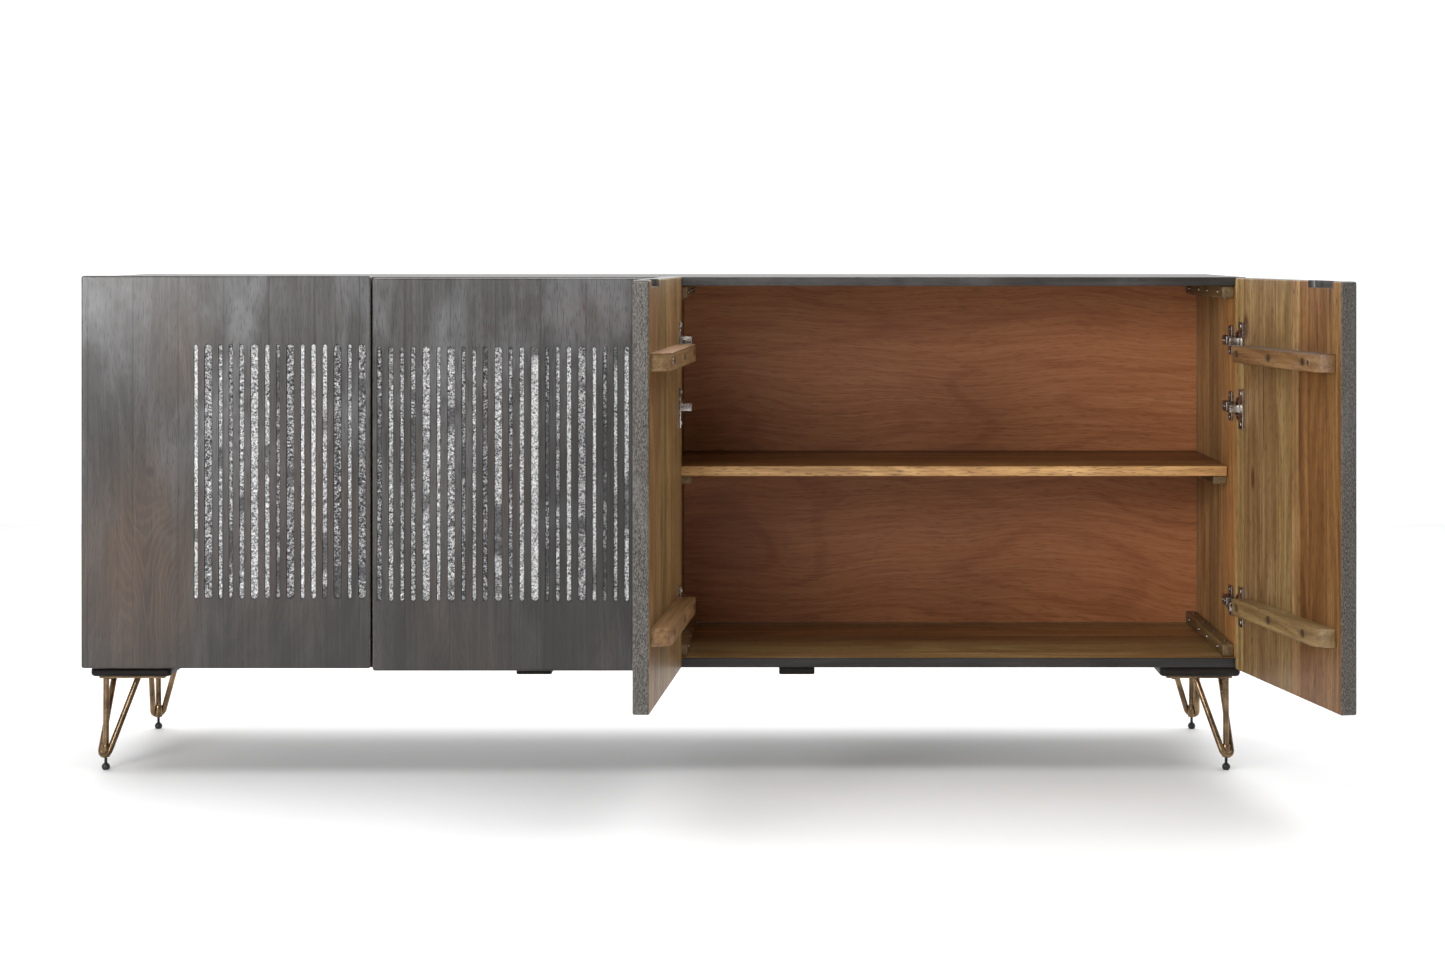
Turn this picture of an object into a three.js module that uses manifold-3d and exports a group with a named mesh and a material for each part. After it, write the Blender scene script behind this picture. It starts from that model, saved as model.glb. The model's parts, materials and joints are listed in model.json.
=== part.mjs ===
// Four-door sideboard on hairpin legs, built as a case with concealed-hinge doors.
// Millimetres, +Z up, front towards -Y, +X to the viewer's right.
// The origin is the bottom centre of the box around everything, with doors 3 and 4 standing open.
import * as THREE from "three";
import { mergeVertices } from "three/addons/utils/BufferGeometryUtils.js";
import Module from "manifold-3d";

const wasm = await Module();
wasm.setup();

// ---------------------------------------------------------------- driving dimensions
// Case
const CASE_WIDTH = 1828.8;
const CASE_HEIGHT = 615;
const CASE_DEPTH = 431;
const CASE_UNDERSIDE = 165;
const TOP_THICKNESS = 14;
const BOTTOM_THICKNESS = 15;
const SIDE_THICKNESS = 16;
const PARTITION_THICKNESS = 30;
const BACK_THICKNESS = 6;
const PANEL_EDGE_ROUND = 1.2;
// Shelves and the strips that carry them
const SHELF_THICKNESS = 16;
const SHELF_TOP = 311;
const SHELF_SETBACK = 78;
const SHELF_END_CLEARANCE = 1.5;
const SHELF_CLEAT_WIDTH = 22;
const SHELF_CLEAT_HEIGHT = 13;
const SHELF_CLEAT_SETBACK = 12;
// Doors
const DOOR_THICKNESS = 24;
const DOOR_STANDOFF = 2;
const DOOR_END_REVEAL = 0.5;
const DOOR_PAIR_GAP = 3;
const DOOR_CENTRE_GAP = 9;
const DOOR_EDGE_ROUND = 2.4;
const DOOR_CORNER_RADIUS = 4;
const SLOT_BAND_TOP = 107;
const SLOT_LENGTH = 399;
const SLOT_DEPTH = 4;
const SLOT_EDGE_MARGIN = 7;
const OUTER_DOOR_PLAIN_FIELD = 172;
const SLOT_WIDTHS = { N: 6.5, M: 8, W: 12.4 };
const OUTER_SLOTS = { pattern: "WNWMMNWNMWMNNWN", land: 9.75 };
const INNER_SLOTS = { pattern: "MMNMWNWNNMWNMWNNMWNNNMMN", land: 10.1 };
const NOTCH_LENGTH = 100;
const NOTCH_DROP = 10.5;
const NOTCH_REACH = 13;
const NOTCH_FROM_FREE_EDGE = 32;
// Battens across the door backs
const BATTEN_FROM_HINGE_EDGE = 69;
const BATTEN_HEIGHT = 26;
const BATTEN_THICKNESS = 28;
const BATTEN_FROM_FREE_EDGE = 20;
const UPPER_BATTEN_DROP = 117;
const LOWER_BATTEN_RISE = 107;
const COUNTERBORE_RADIUS = 6.2;
const COUNTERBORE_DEPTH = 11;
const COUNTERBORE_FROM_HINGE_END = 17;
const COUNTERBORE_FROM_ROUND_END = 60;
const COUNTERBORE_COUNT = 3;
// Concealed hinges: the pivot is the single axis that a cup hinge swings about
const OUTER_PIVOT = { fromEdge: 5.4, fromBack: 12.6, neckOffset: 4.4 };
const INNER_PIVOT = { fromEdge: 6.4, fromBack: 14.8, neckOffset: 12.4 };
const HINGE_DROPS = [100, 204.5, 513];
const CUP_FROM_EDGE = 22;
const CUP_RADIUS = 17.5;
const CUP_DEPTH = 12;
const CUP_WALL = 1;
const CUP_RIM = 1.5;
const CUP_BORE_CLEARANCE = 0.4;
const FLANGE_LENGTH = 62;
const FLANGE_WIDTH = 20;
const FLANGE_FROM_EDGE = 35;
const FLANGE_THICKNESS = 1.2;
const ARM_LENGTH = 58;
const ARM_START = 4;
const ARM_WIDTH = 16;
const ARM_RISE = 13;
const NECK_THICKNESS = 8;
const NECK_CUP_CLEARANCE = 0.5;
const HINGE_PLATE_HEIGHT = 46;
const HINGE_PLATE_THICKNESS = 3;
// Leg blocks, hairpin legs and levelling feet
const BLOCK_SIZE = 127;
const BLOCK_THICKNESS = 15;
const BLOCK_ROUND = 5;
const LEG_FROM_SIDE = 71;
const LEG_FROM_FRONT = 68;
const LEG_PLATE_SIZE = 104;
const LEG_PLATE_THICKNESS = 4;
const ROD_RADIUS = 4.75;
const ROD_SPREAD = 65;
const ROD_INSET = 8.5;
const ROD_REACH = 46;
const BEND_RADIUS = 10;
const LEG_END_HEIGHT = 18;
const SOCKET_RADIUS = 6.5;
const SOCKET_LENGTH = 22;
const STEM_RADIUS = 2.5;
const STEM_LENGTH = 22;
const STEM_CLEARANCE = 0.3;
const FOOT_RADIUS = 6.6;
const FOOT_FLAT_RADIUS = 4.2;
const FOOT_HEIGHT = 10.5;
const FOOT_RETRACT = 5;
// Clearance left between pieces that are glued, screwed or rested together
const FIT_GAP = 0.3;
// Facets round the cups and bores
const ROUND_SIDES = 16;

// ---------------------------------------------------------------- values that follow
const caseTop = CASE_UNDERSIDE + CASE_HEIGHT;
const innerFloor = CASE_UNDERSIDE + BOTTOM_THICKNESS;
const innerCeiling = caseTop - TOP_THICKNESS;
const innerDepth = CASE_DEPTH - BACK_THICKNESS;
const sideFace = CASE_WIDTH / 2 - SIDE_THICKNESS;
const partitionFace = PARTITION_THICKNESS / 2;
const doorWidth =
  (CASE_WIDTH - 2 * DOOR_END_REVEAL - 2 * DOOR_PAIR_GAP - DOOR_CENTRE_GAP) / 4;
const doorHeight = CASE_HEIGHT;
const shelfTop = CASE_UNDERSIDE + SHELF_TOP;
const shelfUnderside = shelfTop - SHELF_THICKNESS;

// The four doors, left to right. hand is +1 where the hinges are at the left end.
// open is the angle a door stands at; hang is how far its hinges were adjusted up.
const outerEdge = CASE_WIDTH / 2 - DOOR_END_REVEAL;
const innerEdge = DOOR_CENTRE_GAP / 2;
const DOORS = [
  { name: "door_1", hand: 1, edge: -outerEdge, panel: -sideFace, open: 0, hang: 2.4 },
  { name: "door_2", hand: -1, edge: -innerEdge, panel: -partitionFace, open: 0, hang: -1.4 },
  { name: "door_3", hand: 1, edge: innerEdge, panel: partitionFace, open: 93.8, hang: 1.2 },
  { name: "door_4", hand: -1, edge: outerEdge, panel: sideFace, open: 100.1, hang: -0.8 },
];
const isOuter = (door) => Math.abs(door.edge) > CASE_WIDTH / 4;

// ---------------------------------------------------------------- materials
function finish(color, roughness, metalness = 0) {
  return () => new THREE.MeshStandardMaterial({ color, roughness, metalness });
}
const stainedWood = finish(0x4b4a48, 0.55);
const naturalWood = finish(0x9a7448, 0.6);
const backPly = finish(0x8a5234, 0.65);
const nickelSteel = finish(0xb9b7b2, 0.3, 1);
const bronzeSteel = finish(0x6e5233, 0.4, 1);
const blackPlastic = finish(0x141414, 0.45);

const sideboard = new THREE.Group();

function addPiece(parent, name, geometry, material) {
  const mesh = new THREE.Mesh(geometry, material());
  mesh.name = name;
  parent.add(mesh);
  return mesh;
}

// ---------------------------------------------------------------- solids
function toManifold(geometry) {
  const bare = geometry.clone();
  bare.deleteAttribute("normal");
  bare.deleteAttribute("uv");
  const merged = mergeVertices(bare, 1e-4);
  return new wasm.Manifold(
    new wasm.Mesh({
      numProp: 3,
      vertProperties: new Float32Array(merged.attributes.position.array),
      triVerts: new Uint32Array(merged.index.array),
    }),
  );
}

function toGeometry(solid) {
  const mesh = solid.getMesh();
  const geometry = new THREE.BufferGeometry();
  geometry.setAttribute("position", new THREE.BufferAttribute(mesh.vertProperties, 3));
  geometry.setIndex(new THREE.BufferAttribute(mesh.triVerts, 1));
  return geometry;
}

function join(geometries) {
  const solids = geometries.map(toManifold);
  return toGeometry(solids.reduce((whole, next) => whole.add(next)));
}

function cut(geometry, tools) {
  const solids = tools.map(toManifold);
  return toGeometry(solids.reduce((whole, tool) => whole.subtract(tool), toManifold(geometry)));
}

function box(x0, x1, y0, y1, z0, z1) {
  const geometry = new THREE.BoxGeometry(Math.abs(x1 - x0), Math.abs(y1 - y0), Math.abs(z1 - z0));
  return geometry.translate((x0 + x1) / 2, (y0 + y1) / 2, (z0 + z1) / 2);
}

// A rectangle with round corners, centred on the origin.
function roundedRectangle(width, height, radius) {
  const x = width / 2 - radius;
  const y = height / 2 - radius;
  const shape = new THREE.Shape();
  shape.absarc(x, -y, radius, -Math.PI / 2, 0);
  shape.absarc(x, y, radius, 0, Math.PI / 2);
  shape.absarc(-x, y, radius, Math.PI / 2, Math.PI);
  shape.absarc(-x, -y, radius, Math.PI, 1.5 * Math.PI);
  return shape;
}

// A board lying flat: its large faces point up and down and have rounded edges.
function board(width, depth, thickness, edge, corner = 2 * edge, curveSegments = 2) {
  const geometry = new THREE.ExtrudeGeometry(roundedRectangle(width, depth, corner), {
    depth: thickness - 2 * edge,
    bevelEnabled: true,
    bevelThickness: edge,
    bevelSize: edge,
    bevelOffset: -edge,
    bevelSegments: 2,
    curveSegments,
  });
  return geometry.translate(0, 0, edge - thickness / 2);
}

// ---------------------------------------------------------------- case
function addCase() {
  const middle = CASE_DEPTH / 2;
  for (const [name, thickness, low] of [
    ["top_panel", TOP_THICKNESS, innerCeiling],
    ["bottom_panel", BOTTOM_THICKNESS, CASE_UNDERSIDE],
  ]) {
    const panel = board(CASE_WIDTH, CASE_DEPTH, thickness, PANEL_EDGE_ROUND);
    addPiece(sideboard, name, panel.translate(0, middle, low + thickness / 2), stainedWood);
  }
  const low = innerFloor + FIT_GAP;
  const high = innerCeiling - FIT_GAP;
  const outer = CASE_WIDTH / 2;
  const left = box(-outer, -sideFace, 0, CASE_DEPTH, low, high);
  const right = box(sideFace, outer, 0, CASE_DEPTH, low, high);
  addPiece(sideboard, "left_side_panel", left, stainedWood);
  addPiece(sideboard, "right_side_panel", right, stainedWood);
  const partitionBack = innerDepth - FIT_GAP;
  const partition = box(-partitionFace, partitionFace, 0, partitionBack, low, high);
  addPiece(sideboard, "centre_partition", partition, naturalWood);
  const backEdge = sideFace - FIT_GAP;
  const back = box(-backEdge, backEdge, innerDepth, CASE_DEPTH, low, high);
  addPiece(sideboard, "back_panel", back, backPly);
}

function addShelves() {
  const backEdge = innerDepth - FIT_GAP;
  const inner = partitionFace + SHELF_END_CLEARANCE;
  const outer = sideFace - SHELF_END_CLEARANCE;
  const cleatFront = SHELF_SETBACK + SHELF_CLEAT_SETBACK;
  const cleatTop = shelfUnderside - FIT_GAP;
  const cleatLow = cleatTop - SHELF_CLEAT_HEIGHT;
  for (const [side, sign] of [["left", -1], ["right", 1]]) {
    const shelf = box(sign * inner, sign * outer, SHELF_SETBACK, backEdge, shelfUnderside, shelfTop);
    addPiece(sideboard, `${side}_shelf`, shelf, naturalWood);
    for (const [end, face, into] of [["inner", partitionFace, 1], ["outer", sideFace, -1]]) {
      const wall = face + into * FIT_GAP;
      const nose = wall + into * SHELF_CLEAT_WIDTH;
      const strip = box(sign * wall, sign * nose, cleatFront, backEdge, cleatLow, cleatTop);
      addPiece(sideboard, `${side}_shelf_cleat_${end}`, strip, naturalWood);
    }
  }
}

// ---------------------------------------------------------------- doors
// A door is drawn in its own frame: x runs from the hinge edge along the width,
// multiplied by its hand, y is 0 at the back face and -DOOR_THICKNESS at the front,
// and z is 0 at the bottom edge. Its group puts the pivot where the hinges are.
// Slots are set out from the free edge, repeating the pattern until the band is full.
function slotCutters(door) {
  const { pattern, land } = isOuter(door) ? OUTER_SLOTS : INNER_SLOTS;
  const bandEnd = isOuter(door) ? OUTER_DOOR_PLAIN_FIELD : SLOT_EDGE_MARGIN;
  const centre = doorHeight - SLOT_BAND_TOP - SLOT_LENGTH / 2;
  const cutters = [];
  let reach = doorWidth - SLOT_EDGE_MARGIN;
  let width = SLOT_WIDTHS[pattern[0]];
  while (reach - width >= bandEnd) {
    const outline = roundedRectangle(width, SLOT_LENGTH, width / 2);
    const cutter = new THREE.ExtrudeGeometry(outline, {
      depth: 2 * SLOT_DEPTH,
      bevelEnabled: false,
      curveSegments: 2,
    });
    cutter.rotateX(Math.PI / 2);
    cutter.translate(door.hand * (reach - width / 2), SLOT_DEPTH - DOOR_THICKNESS, centre);
    cutters.push(cutter);
    reach -= width + land;
    width = SLOT_WIDTHS[pattern[cutters.length % pattern.length]];
  }
  return cutters;
}

// The finger pull: a pocket routed into the back of the top edge, with round ends.
function notchCutter(door) {
  const outline = roundedRectangle(NOTCH_LENGTH, 2 * NOTCH_REACH, NOTCH_DROP);
  const cutter = new THREE.ExtrudeGeometry(outline, {
    depth: 2 * NOTCH_DROP,
    bevelEnabled: false,
    curveSegments: 4,
  });
  const along = doorWidth - NOTCH_FROM_FREE_EDGE - NOTCH_LENGTH / 2;
  return cutter.translate(door.hand * along, 0, doorHeight - NOTCH_DROP);
}

function upright(geometry) {
  return geometry.rotateX(Math.PI / 2);
}

function cupBore(door, drop) {
  const radius = CUP_RADIUS + CUP_BORE_CLEARANCE;
  const depth = CUP_DEPTH + CUP_BORE_CLEARANCE;
  const bore = new THREE.CylinderGeometry(radius, radius, 2 * depth, ROUND_SIDES);
  return bore.translate(door.hand * CUP_FROM_EDGE, 0, doorHeight - drop);
}

function doorPanel(door) {
  const slab = upright(
    board(doorWidth, doorHeight, DOOR_THICKNESS, DOOR_EDGE_ROUND, DOOR_CORNER_RADIUS, 3),
  );
  slab.translate((door.hand * doorWidth) / 2, -DOOR_THICKNESS / 2, doorHeight / 2);
  const bores = HINGE_DROPS.map((drop) => cupBore(door, drop));
  return cut(slab, [...slotCutters(door), notchCutter(door), ...bores]);
}

// A batten screwed across the door back, square at the hinge end and round at the free end.
function batten(door, height) {
  const start = BATTEN_FROM_HINGE_EDGE;
  const end = doorWidth - BATTEN_FROM_FREE_EDGE;
  const outline = new THREE.Shape();
  outline.moveTo(door.hand * start, FIT_GAP);
  outline.lineTo(door.hand * end, FIT_GAP);
  const steps = 6;
  for (let i = 1; i <= steps; i += 1) {
    const angle = (i / steps) * (Math.PI / 2);
    const x = end - BATTEN_THICKNESS * (1 - Math.cos(angle));
    outline.lineTo(door.hand * x, FIT_GAP + BATTEN_THICKNESS * Math.sin(angle));
  }
  outline.lineTo(door.hand * start, FIT_GAP + BATTEN_THICKNESS);
  const strip = new THREE.ExtrudeGeometry(outline, { depth: BATTEN_HEIGHT, bevelEnabled: false });
  strip.translate(0, 0, height - BATTEN_HEIGHT / 2);
  const holes = [];
  const firstHole = start + COUNTERBORE_FROM_HINGE_END;
  const lastHole = end - COUNTERBORE_FROM_ROUND_END;
  for (let i = 0; i < COUNTERBORE_COUNT; i += 1) {
    const along = firstHole + ((lastHole - firstHole) * i) / (COUNTERBORE_COUNT - 1);
    const hole = new THREE.CylinderGeometry(
      COUNTERBORE_RADIUS,
      COUNTERBORE_RADIUS,
      2 * COUNTERBORE_DEPTH,
      ROUND_SIDES,
    );
    holes.push(hole.translate(door.hand * along, FIT_GAP + BATTEN_THICKNESS, height));
  }
  return cut(strip, holes);
}

// The cup with its rim and screw flange, sunk into its bore in the door back.
function hingeCup(door, drop) {
  const rimLow = FIT_GAP;
  const rimHigh = rimLow + FLANGE_THICKNESS;
  const body = new THREE.CylinderGeometry(CUP_RADIUS, CUP_RADIUS, CUP_DEPTH + rimHigh, ROUND_SIDES);
  body.translate(0, (rimHigh - CUP_DEPTH) / 2, 0);
  const rimRadius = CUP_RADIUS + CUP_RIM;
  const rim = new THREE.CylinderGeometry(rimRadius, rimRadius, FLANGE_THICKNESS, ROUND_SIDES);
  rim.translate(0, (rimLow + rimHigh) / 2, 0);
  const flange = upright(
    new THREE.ExtrudeGeometry(roundedRectangle(FLANGE_WIDTH, FLANGE_LENGTH, 5), {
      depth: FLANGE_THICKNESS,
      bevelEnabled: false,
      curveSegments: 2,
    }),
  );
  flange.translate(door.hand * (FLANGE_FROM_EDGE - CUP_FROM_EDGE), rimHigh, 0);
  const inside = CUP_RADIUS - CUP_WALL;
  const hollow = new THREE.CylinderGeometry(inside, inside, CUP_DEPTH + 4 * rimHigh, ROUND_SIDES);
  hollow.translate(0, CUP_WALL - CUP_DEPTH + (CUP_DEPTH + 4 * rimHigh) / 2, 0);
  const cup = cut(join([body, rim, flange]), [hollow]);
  return cup.translate(door.hand * CUP_FROM_EDGE, 0, doorHeight - drop);
}

function pivotOf(door) {
  return isOuter(door) ? OUTER_PIVOT : INNER_PIVOT;
}

function addDoor(door) {
  const pivot = pivotOf(door);
  const swing = new THREE.Group();
  const pivotX = door.edge + door.hand * pivot.fromEdge;
  swing.position.set(pivotX, -DOOR_STANDOFF - pivot.fromBack, CASE_UNDERSIDE + door.hang);
  swing.rotation.z = -door.hand * THREE.MathUtils.degToRad(door.open);
  sideboard.add(swing);
  const leaf = new THREE.Group();
  leaf.position.set(-door.hand * pivot.fromEdge, pivot.fromBack, 0);
  swing.add(leaf);
  addPiece(leaf, `${door.name}_panel`, doorPanel(door), stainedWood);
  const upper = batten(door, doorHeight - UPPER_BATTEN_DROP);
  addPiece(leaf, `${door.name}_batten_upper`, upper, naturalWood);
  addPiece(leaf, `${door.name}_batten_lower`, batten(door, LOWER_BATTEN_RISE), naturalWood);
  HINGE_DROPS.forEach((drop, i) => {
    addPiece(leaf, `${door.name}_hinge_cup_${i + 1}`, hingeCup(door, drop), nickelSteel);
  });
}

// A hinge arm on its mounting plate. Its neck reaches into the cup of the closed door.
function hingeArm(door, drop) {
  const { neckOffset } = pivotOf(door);
  const into = door.hand;
  const height = caseTop - drop + door.hang;
  const armBack = ARM_START + ARM_LENGTH;
  const neckTip = -(DOOR_STANDOFF + CUP_DEPTH - CUP_WALL - NECK_CUP_CLEARANCE);
  const neckTop = neckOffset + NECK_THICKNESS;
  const plateTop = FIT_GAP + HINGE_PLATE_THICKNESS;
  const outline = [
    [plateTop - 1, armBack],
    [ARM_RISE, armBack],
    [ARM_RISE, ARM_START + ARM_LENGTH / 2],
    [neckTop, ARM_START + 2],
    [neckTop, neckTip],
    [neckOffset, neckTip],
    [neckOffset, 1],
    [plateTop - 1, ARM_START + 4],
  ];
  const shape = new THREE.Shape(
    outline.map(([off, y]) => new THREE.Vector2(door.panel + into * off, y)),
  );
  const arm = new THREE.ExtrudeGeometry(shape, { depth: ARM_WIDTH, bevelEnabled: false });
  arm.translate(0, 0, height - ARM_WIDTH / 2);
  const plate = box(
    door.panel + into * FIT_GAP,
    door.panel + into * plateTop,
    ARM_START + ARM_LENGTH / 3,
    armBack - ARM_LENGTH / 8,
    height - HINGE_PLATE_HEIGHT / 2,
    height + HINGE_PLATE_HEIGHT / 2,
  );
  return join([arm, plate]);
}

// ---------------------------------------------------------------- legs and feet
// Straight round bar between two points.
function bar(from, to, radius, sides) {
  const along = new THREE.Vector3().subVectors(to, from);
  const geometry = new THREE.CylinderGeometry(radius, radius, along.length(), sides);
  const turn = new THREE.Quaternion().setFromUnitVectors(
    new THREE.Vector3(0, 1, 0),
    along.clone().normalize(),
  );
  geometry.applyQuaternion(turn);
  return geometry.translate((from.x + to.x) / 2, (from.y + to.y) / 2, (from.z + to.z) / 2);
}

// A rod bent into a hairpin: straight from one top to the bend, round it, and up to the other.
function hairpinPath(topA, topB, bendCentre) {
  const across = new THREE.Vector3().subVectors(topB, topA).normalize();
  const towardsA = new THREE.Vector3().subVectors(topA, bendCentre);
  const up = towardsA.clone().addScaledVector(across, -towardsA.dot(across)).normalize();
  const angleOf = (point, side) => {
    const from = new THREE.Vector3().subVectors(point, bendCentre);
    const angle = Math.atan2(from.dot(up), from.dot(across));
    return angle + side * Math.acos(BEND_RADIUS / from.length());
  };
  const first = angleOf(topA, 1);
  const last = angleOf(topB, -1) + 2 * Math.PI;
  const onBend = (angle) =>
    bendCentre
      .clone()
      .addScaledVector(across, BEND_RADIUS * Math.cos(angle))
      .addScaledVector(up, BEND_RADIUS * Math.sin(angle));
  const path = new THREE.CurvePath();
  path.add(new THREE.LineCurve3(topA, onBend(first)));
  const chords = 6;
  for (let i = 0; i < chords; i += 1) {
    const from = first + ((last - first) * i) / chords;
    const to = first + ((last - first) * (i + 1)) / chords;
    path.add(new THREE.LineCurve3(onBend(from), onBend(to)));
  }
  path.add(new THREE.LineCurve3(onBend(last), topB));
  return path;
}

function ring(radius, sides) {
  const shape = new THREE.Shape();
  for (let i = 0; i < sides; i += 1) {
    const angle = (i / sides) * 2 * Math.PI;
    const point = [radius * Math.cos(angle), radius * Math.sin(angle)];
    if (i === 0) shape.moveTo(...point);
    else shape.lineTo(...point);
  }
  return shape;
}

// The plate, the bent rod, the straight rod and the threaded socket, welded into one piece.
// outX and outY point from the leg's centre to the outer corner where the foot stands.
function hairpinLeg(centreX, centreY, outX, outY) {
  const plateTop = CASE_UNDERSIDE - FIT_GAP - BLOCK_THICKNESS - FIT_GAP;
  const plateLow = plateTop - LEG_PLATE_THICKNESS;
  const plate = board(LEG_PLATE_SIZE, LEG_PLATE_SIZE, LEG_PLATE_THICKNESS, 0.8, 10, 3);
  plate.translate(centreX, centreY, plateTop - LEG_PLATE_THICKNESS / 2);
  const rodTop = plateLow + LEG_PLATE_THICKNESS / 2;
  const edge = LEG_PLATE_SIZE / 2 - ROD_INSET;
  const place = (alongX, alongY, z) =>
    new THREE.Vector3(centreX + outX * alongX, centreY + outY * alongY, z);
  const straightTop = place(edge, edge - 3, rodTop);
  const bentTopOuter = place(edge, edge - ROD_SPREAD, rodTop);
  const bentTopInner = place(edge - ROD_REACH, edge - ROD_SPREAD / 2, rodTop);
  const socketLow = place(edge, edge, LEG_END_HEIGHT);
  const socketHigh = place(edge, edge, LEG_END_HEIGHT + SOCKET_LENGTH);
  const bendCentre = place(edge, edge, LEG_END_HEIGHT + ROD_RADIUS + BEND_RADIUS);
  const bent = new THREE.ExtrudeGeometry(ring(ROD_RADIUS, 8), {
    steps: 30,
    bevelEnabled: false,
    extrudePath: hairpinPath(bentTopOuter, bentTopInner, bendCentre),
  });
  const straight = bar(straightTop, place(edge, edge, LEG_END_HEIGHT + ROD_RADIUS), ROD_RADIUS, 8);
  const socket = bar(socketLow, socketHigh, SOCKET_RADIUS, 12);
  const boreTop = FOOT_HEIGHT + STEM_LENGTH + FOOT_RETRACT + 1;
  const boreRadius = STEM_RADIUS + STEM_CLEARANCE;
  const bore = bar(place(edge, edge, 0), place(edge, edge, boreTop), boreRadius, 12);
  return cut(join([plate, bent, straight, socket]), [bore]);
}

// A levelling foot: a ball-shaped glide with a flat base on a threaded stem.
function levellingFoot(centreX, centreY, outX, outY) {
  const edge = LEG_PLATE_SIZE / 2 - ROD_INSET;
  const profile = [new THREE.Vector2(0, 0), new THREE.Vector2(FOOT_FLAT_RADIUS, 0)];
  const steps = 5;
  const start = -Math.acos(FOOT_FLAT_RADIUS / FOOT_RADIUS);
  const finishAngle = Math.acos((STEM_RADIUS + 0.4) / FOOT_RADIUS);
  const ballMiddle = FOOT_HEIGHT / 2;
  const low = Math.sin(start);
  const high = Math.sin(finishAngle);
  for (let i = 1; i <= steps; i += 1) {
    const angle = start + ((finishAngle - start) * i) / steps;
    const rise = (Math.sin(angle) - low) / (high - low);
    profile.push(new THREE.Vector2(FOOT_RADIUS * Math.cos(angle), 2 * ballMiddle * rise));
  }
  profile.push(new THREE.Vector2(STEM_RADIUS, FOOT_HEIGHT + 0.4));
  profile.push(new THREE.Vector2(STEM_RADIUS, FOOT_HEIGHT + STEM_LENGTH));
  profile.push(new THREE.Vector2(0, FOOT_HEIGHT + STEM_LENGTH));
  const foot = new THREE.LatheGeometry(profile, 16);
  foot.rotateX(Math.PI / 2);
  return foot.translate(centreX + outX * edge, centreY + outY * edge, 0);
}

function addLeg(corner, outX, outY) {
  const centreX = outX * (CASE_WIDTH / 2 - LEG_FROM_SIDE);
  const centreY = outY < 0 ? LEG_FROM_FRONT : CASE_DEPTH - LEG_FROM_FRONT;
  const block = board(BLOCK_SIZE, BLOCK_SIZE, BLOCK_THICKNESS, BLOCK_ROUND, 8, 2);
  const blockMiddle = CASE_UNDERSIDE - FIT_GAP - BLOCK_THICKNESS / 2;
  addPiece(sideboard, `leg_block_${corner}`, block.translate(centreX, centreY, blockMiddle), stainedWood);
  addPiece(sideboard, `hairpin_leg_${corner}`, hairpinLeg(centreX, centreY, outX, outY), bronzeSteel);
  addPiece(sideboard, `levelling_foot_${corner}`, levellingFoot(centreX, centreY, outX, outY), blackPlastic);
}

// ---------------------------------------------------------------- assembly
addCase();
addShelves();
addLeg("front_left", -1, -1);
addLeg("front_right", 1, -1);
addLeg("rear_left", -1, 1);
addLeg("rear_right", 1, 1);
for (const door of DOORS) {
  HINGE_DROPS.forEach((drop, i) => {
    addPiece(sideboard, `${door.name}_hinge_arm_${i + 1}`, hingeArm(door, drop), nickelSteel);
  });
  addDoor(door);
}

// Put the origin at the bottom centre of the box around everything.
sideboard.updateMatrixWorld(true);
const around = new THREE.Box3().setFromObject(sideboard, true);
const middle = around.getCenter(new THREE.Vector3());
sideboard.position.set(-middle.x, -middle.y, -around.min.z);
sideboard.updateMatrixWorld(true);

export default sideboard;
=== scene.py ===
# %% [markdown]
# # A four-door sideboard on hairpin legs
# The case, doors, shelves, hinges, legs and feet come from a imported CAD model, which stays fixed.
# This script gives every visible surface its finish and makes the fine pieces by hand: crinkled
# silver inlay, eased shelves and battens, hinges, corner cleats, screws, bent rods and glides.

# %% Load the fixed frame
import json
import math

import bmesh
import bpy
from mathutils import Matrix, Vector, noise


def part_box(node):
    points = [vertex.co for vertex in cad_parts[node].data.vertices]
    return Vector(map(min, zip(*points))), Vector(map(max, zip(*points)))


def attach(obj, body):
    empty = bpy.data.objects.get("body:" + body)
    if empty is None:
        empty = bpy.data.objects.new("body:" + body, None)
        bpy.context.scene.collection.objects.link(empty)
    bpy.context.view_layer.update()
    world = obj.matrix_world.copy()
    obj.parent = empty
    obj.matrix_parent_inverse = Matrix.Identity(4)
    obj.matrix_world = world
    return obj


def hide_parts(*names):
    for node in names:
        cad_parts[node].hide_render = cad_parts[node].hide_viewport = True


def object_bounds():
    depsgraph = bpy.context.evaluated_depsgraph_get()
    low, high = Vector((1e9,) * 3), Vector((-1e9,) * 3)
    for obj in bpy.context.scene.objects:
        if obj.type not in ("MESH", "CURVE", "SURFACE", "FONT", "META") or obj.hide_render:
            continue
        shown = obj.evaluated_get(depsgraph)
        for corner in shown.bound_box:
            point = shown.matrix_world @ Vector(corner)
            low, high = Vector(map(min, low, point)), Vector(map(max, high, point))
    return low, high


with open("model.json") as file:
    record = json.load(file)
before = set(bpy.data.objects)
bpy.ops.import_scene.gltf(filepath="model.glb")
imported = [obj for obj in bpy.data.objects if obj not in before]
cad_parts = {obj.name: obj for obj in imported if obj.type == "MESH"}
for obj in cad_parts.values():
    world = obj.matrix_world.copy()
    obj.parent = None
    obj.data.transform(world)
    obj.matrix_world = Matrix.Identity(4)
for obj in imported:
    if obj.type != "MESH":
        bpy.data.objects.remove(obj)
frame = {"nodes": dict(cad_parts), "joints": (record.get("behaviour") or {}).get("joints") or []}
cad_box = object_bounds()
MM = 0.001
scene = bpy.context.scene
print("CAD box", [round(v, 4) for corner in cad_box for v in corner])

# %% [markdown]
# ## Where things are
# Every place follows from the case: its middle, its front edge and the floor. The doors are
# measured from their hinge edges as they are when shut, and a turn about the hinge's pivot then
# brings a piece to where its door stands at rest.

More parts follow.
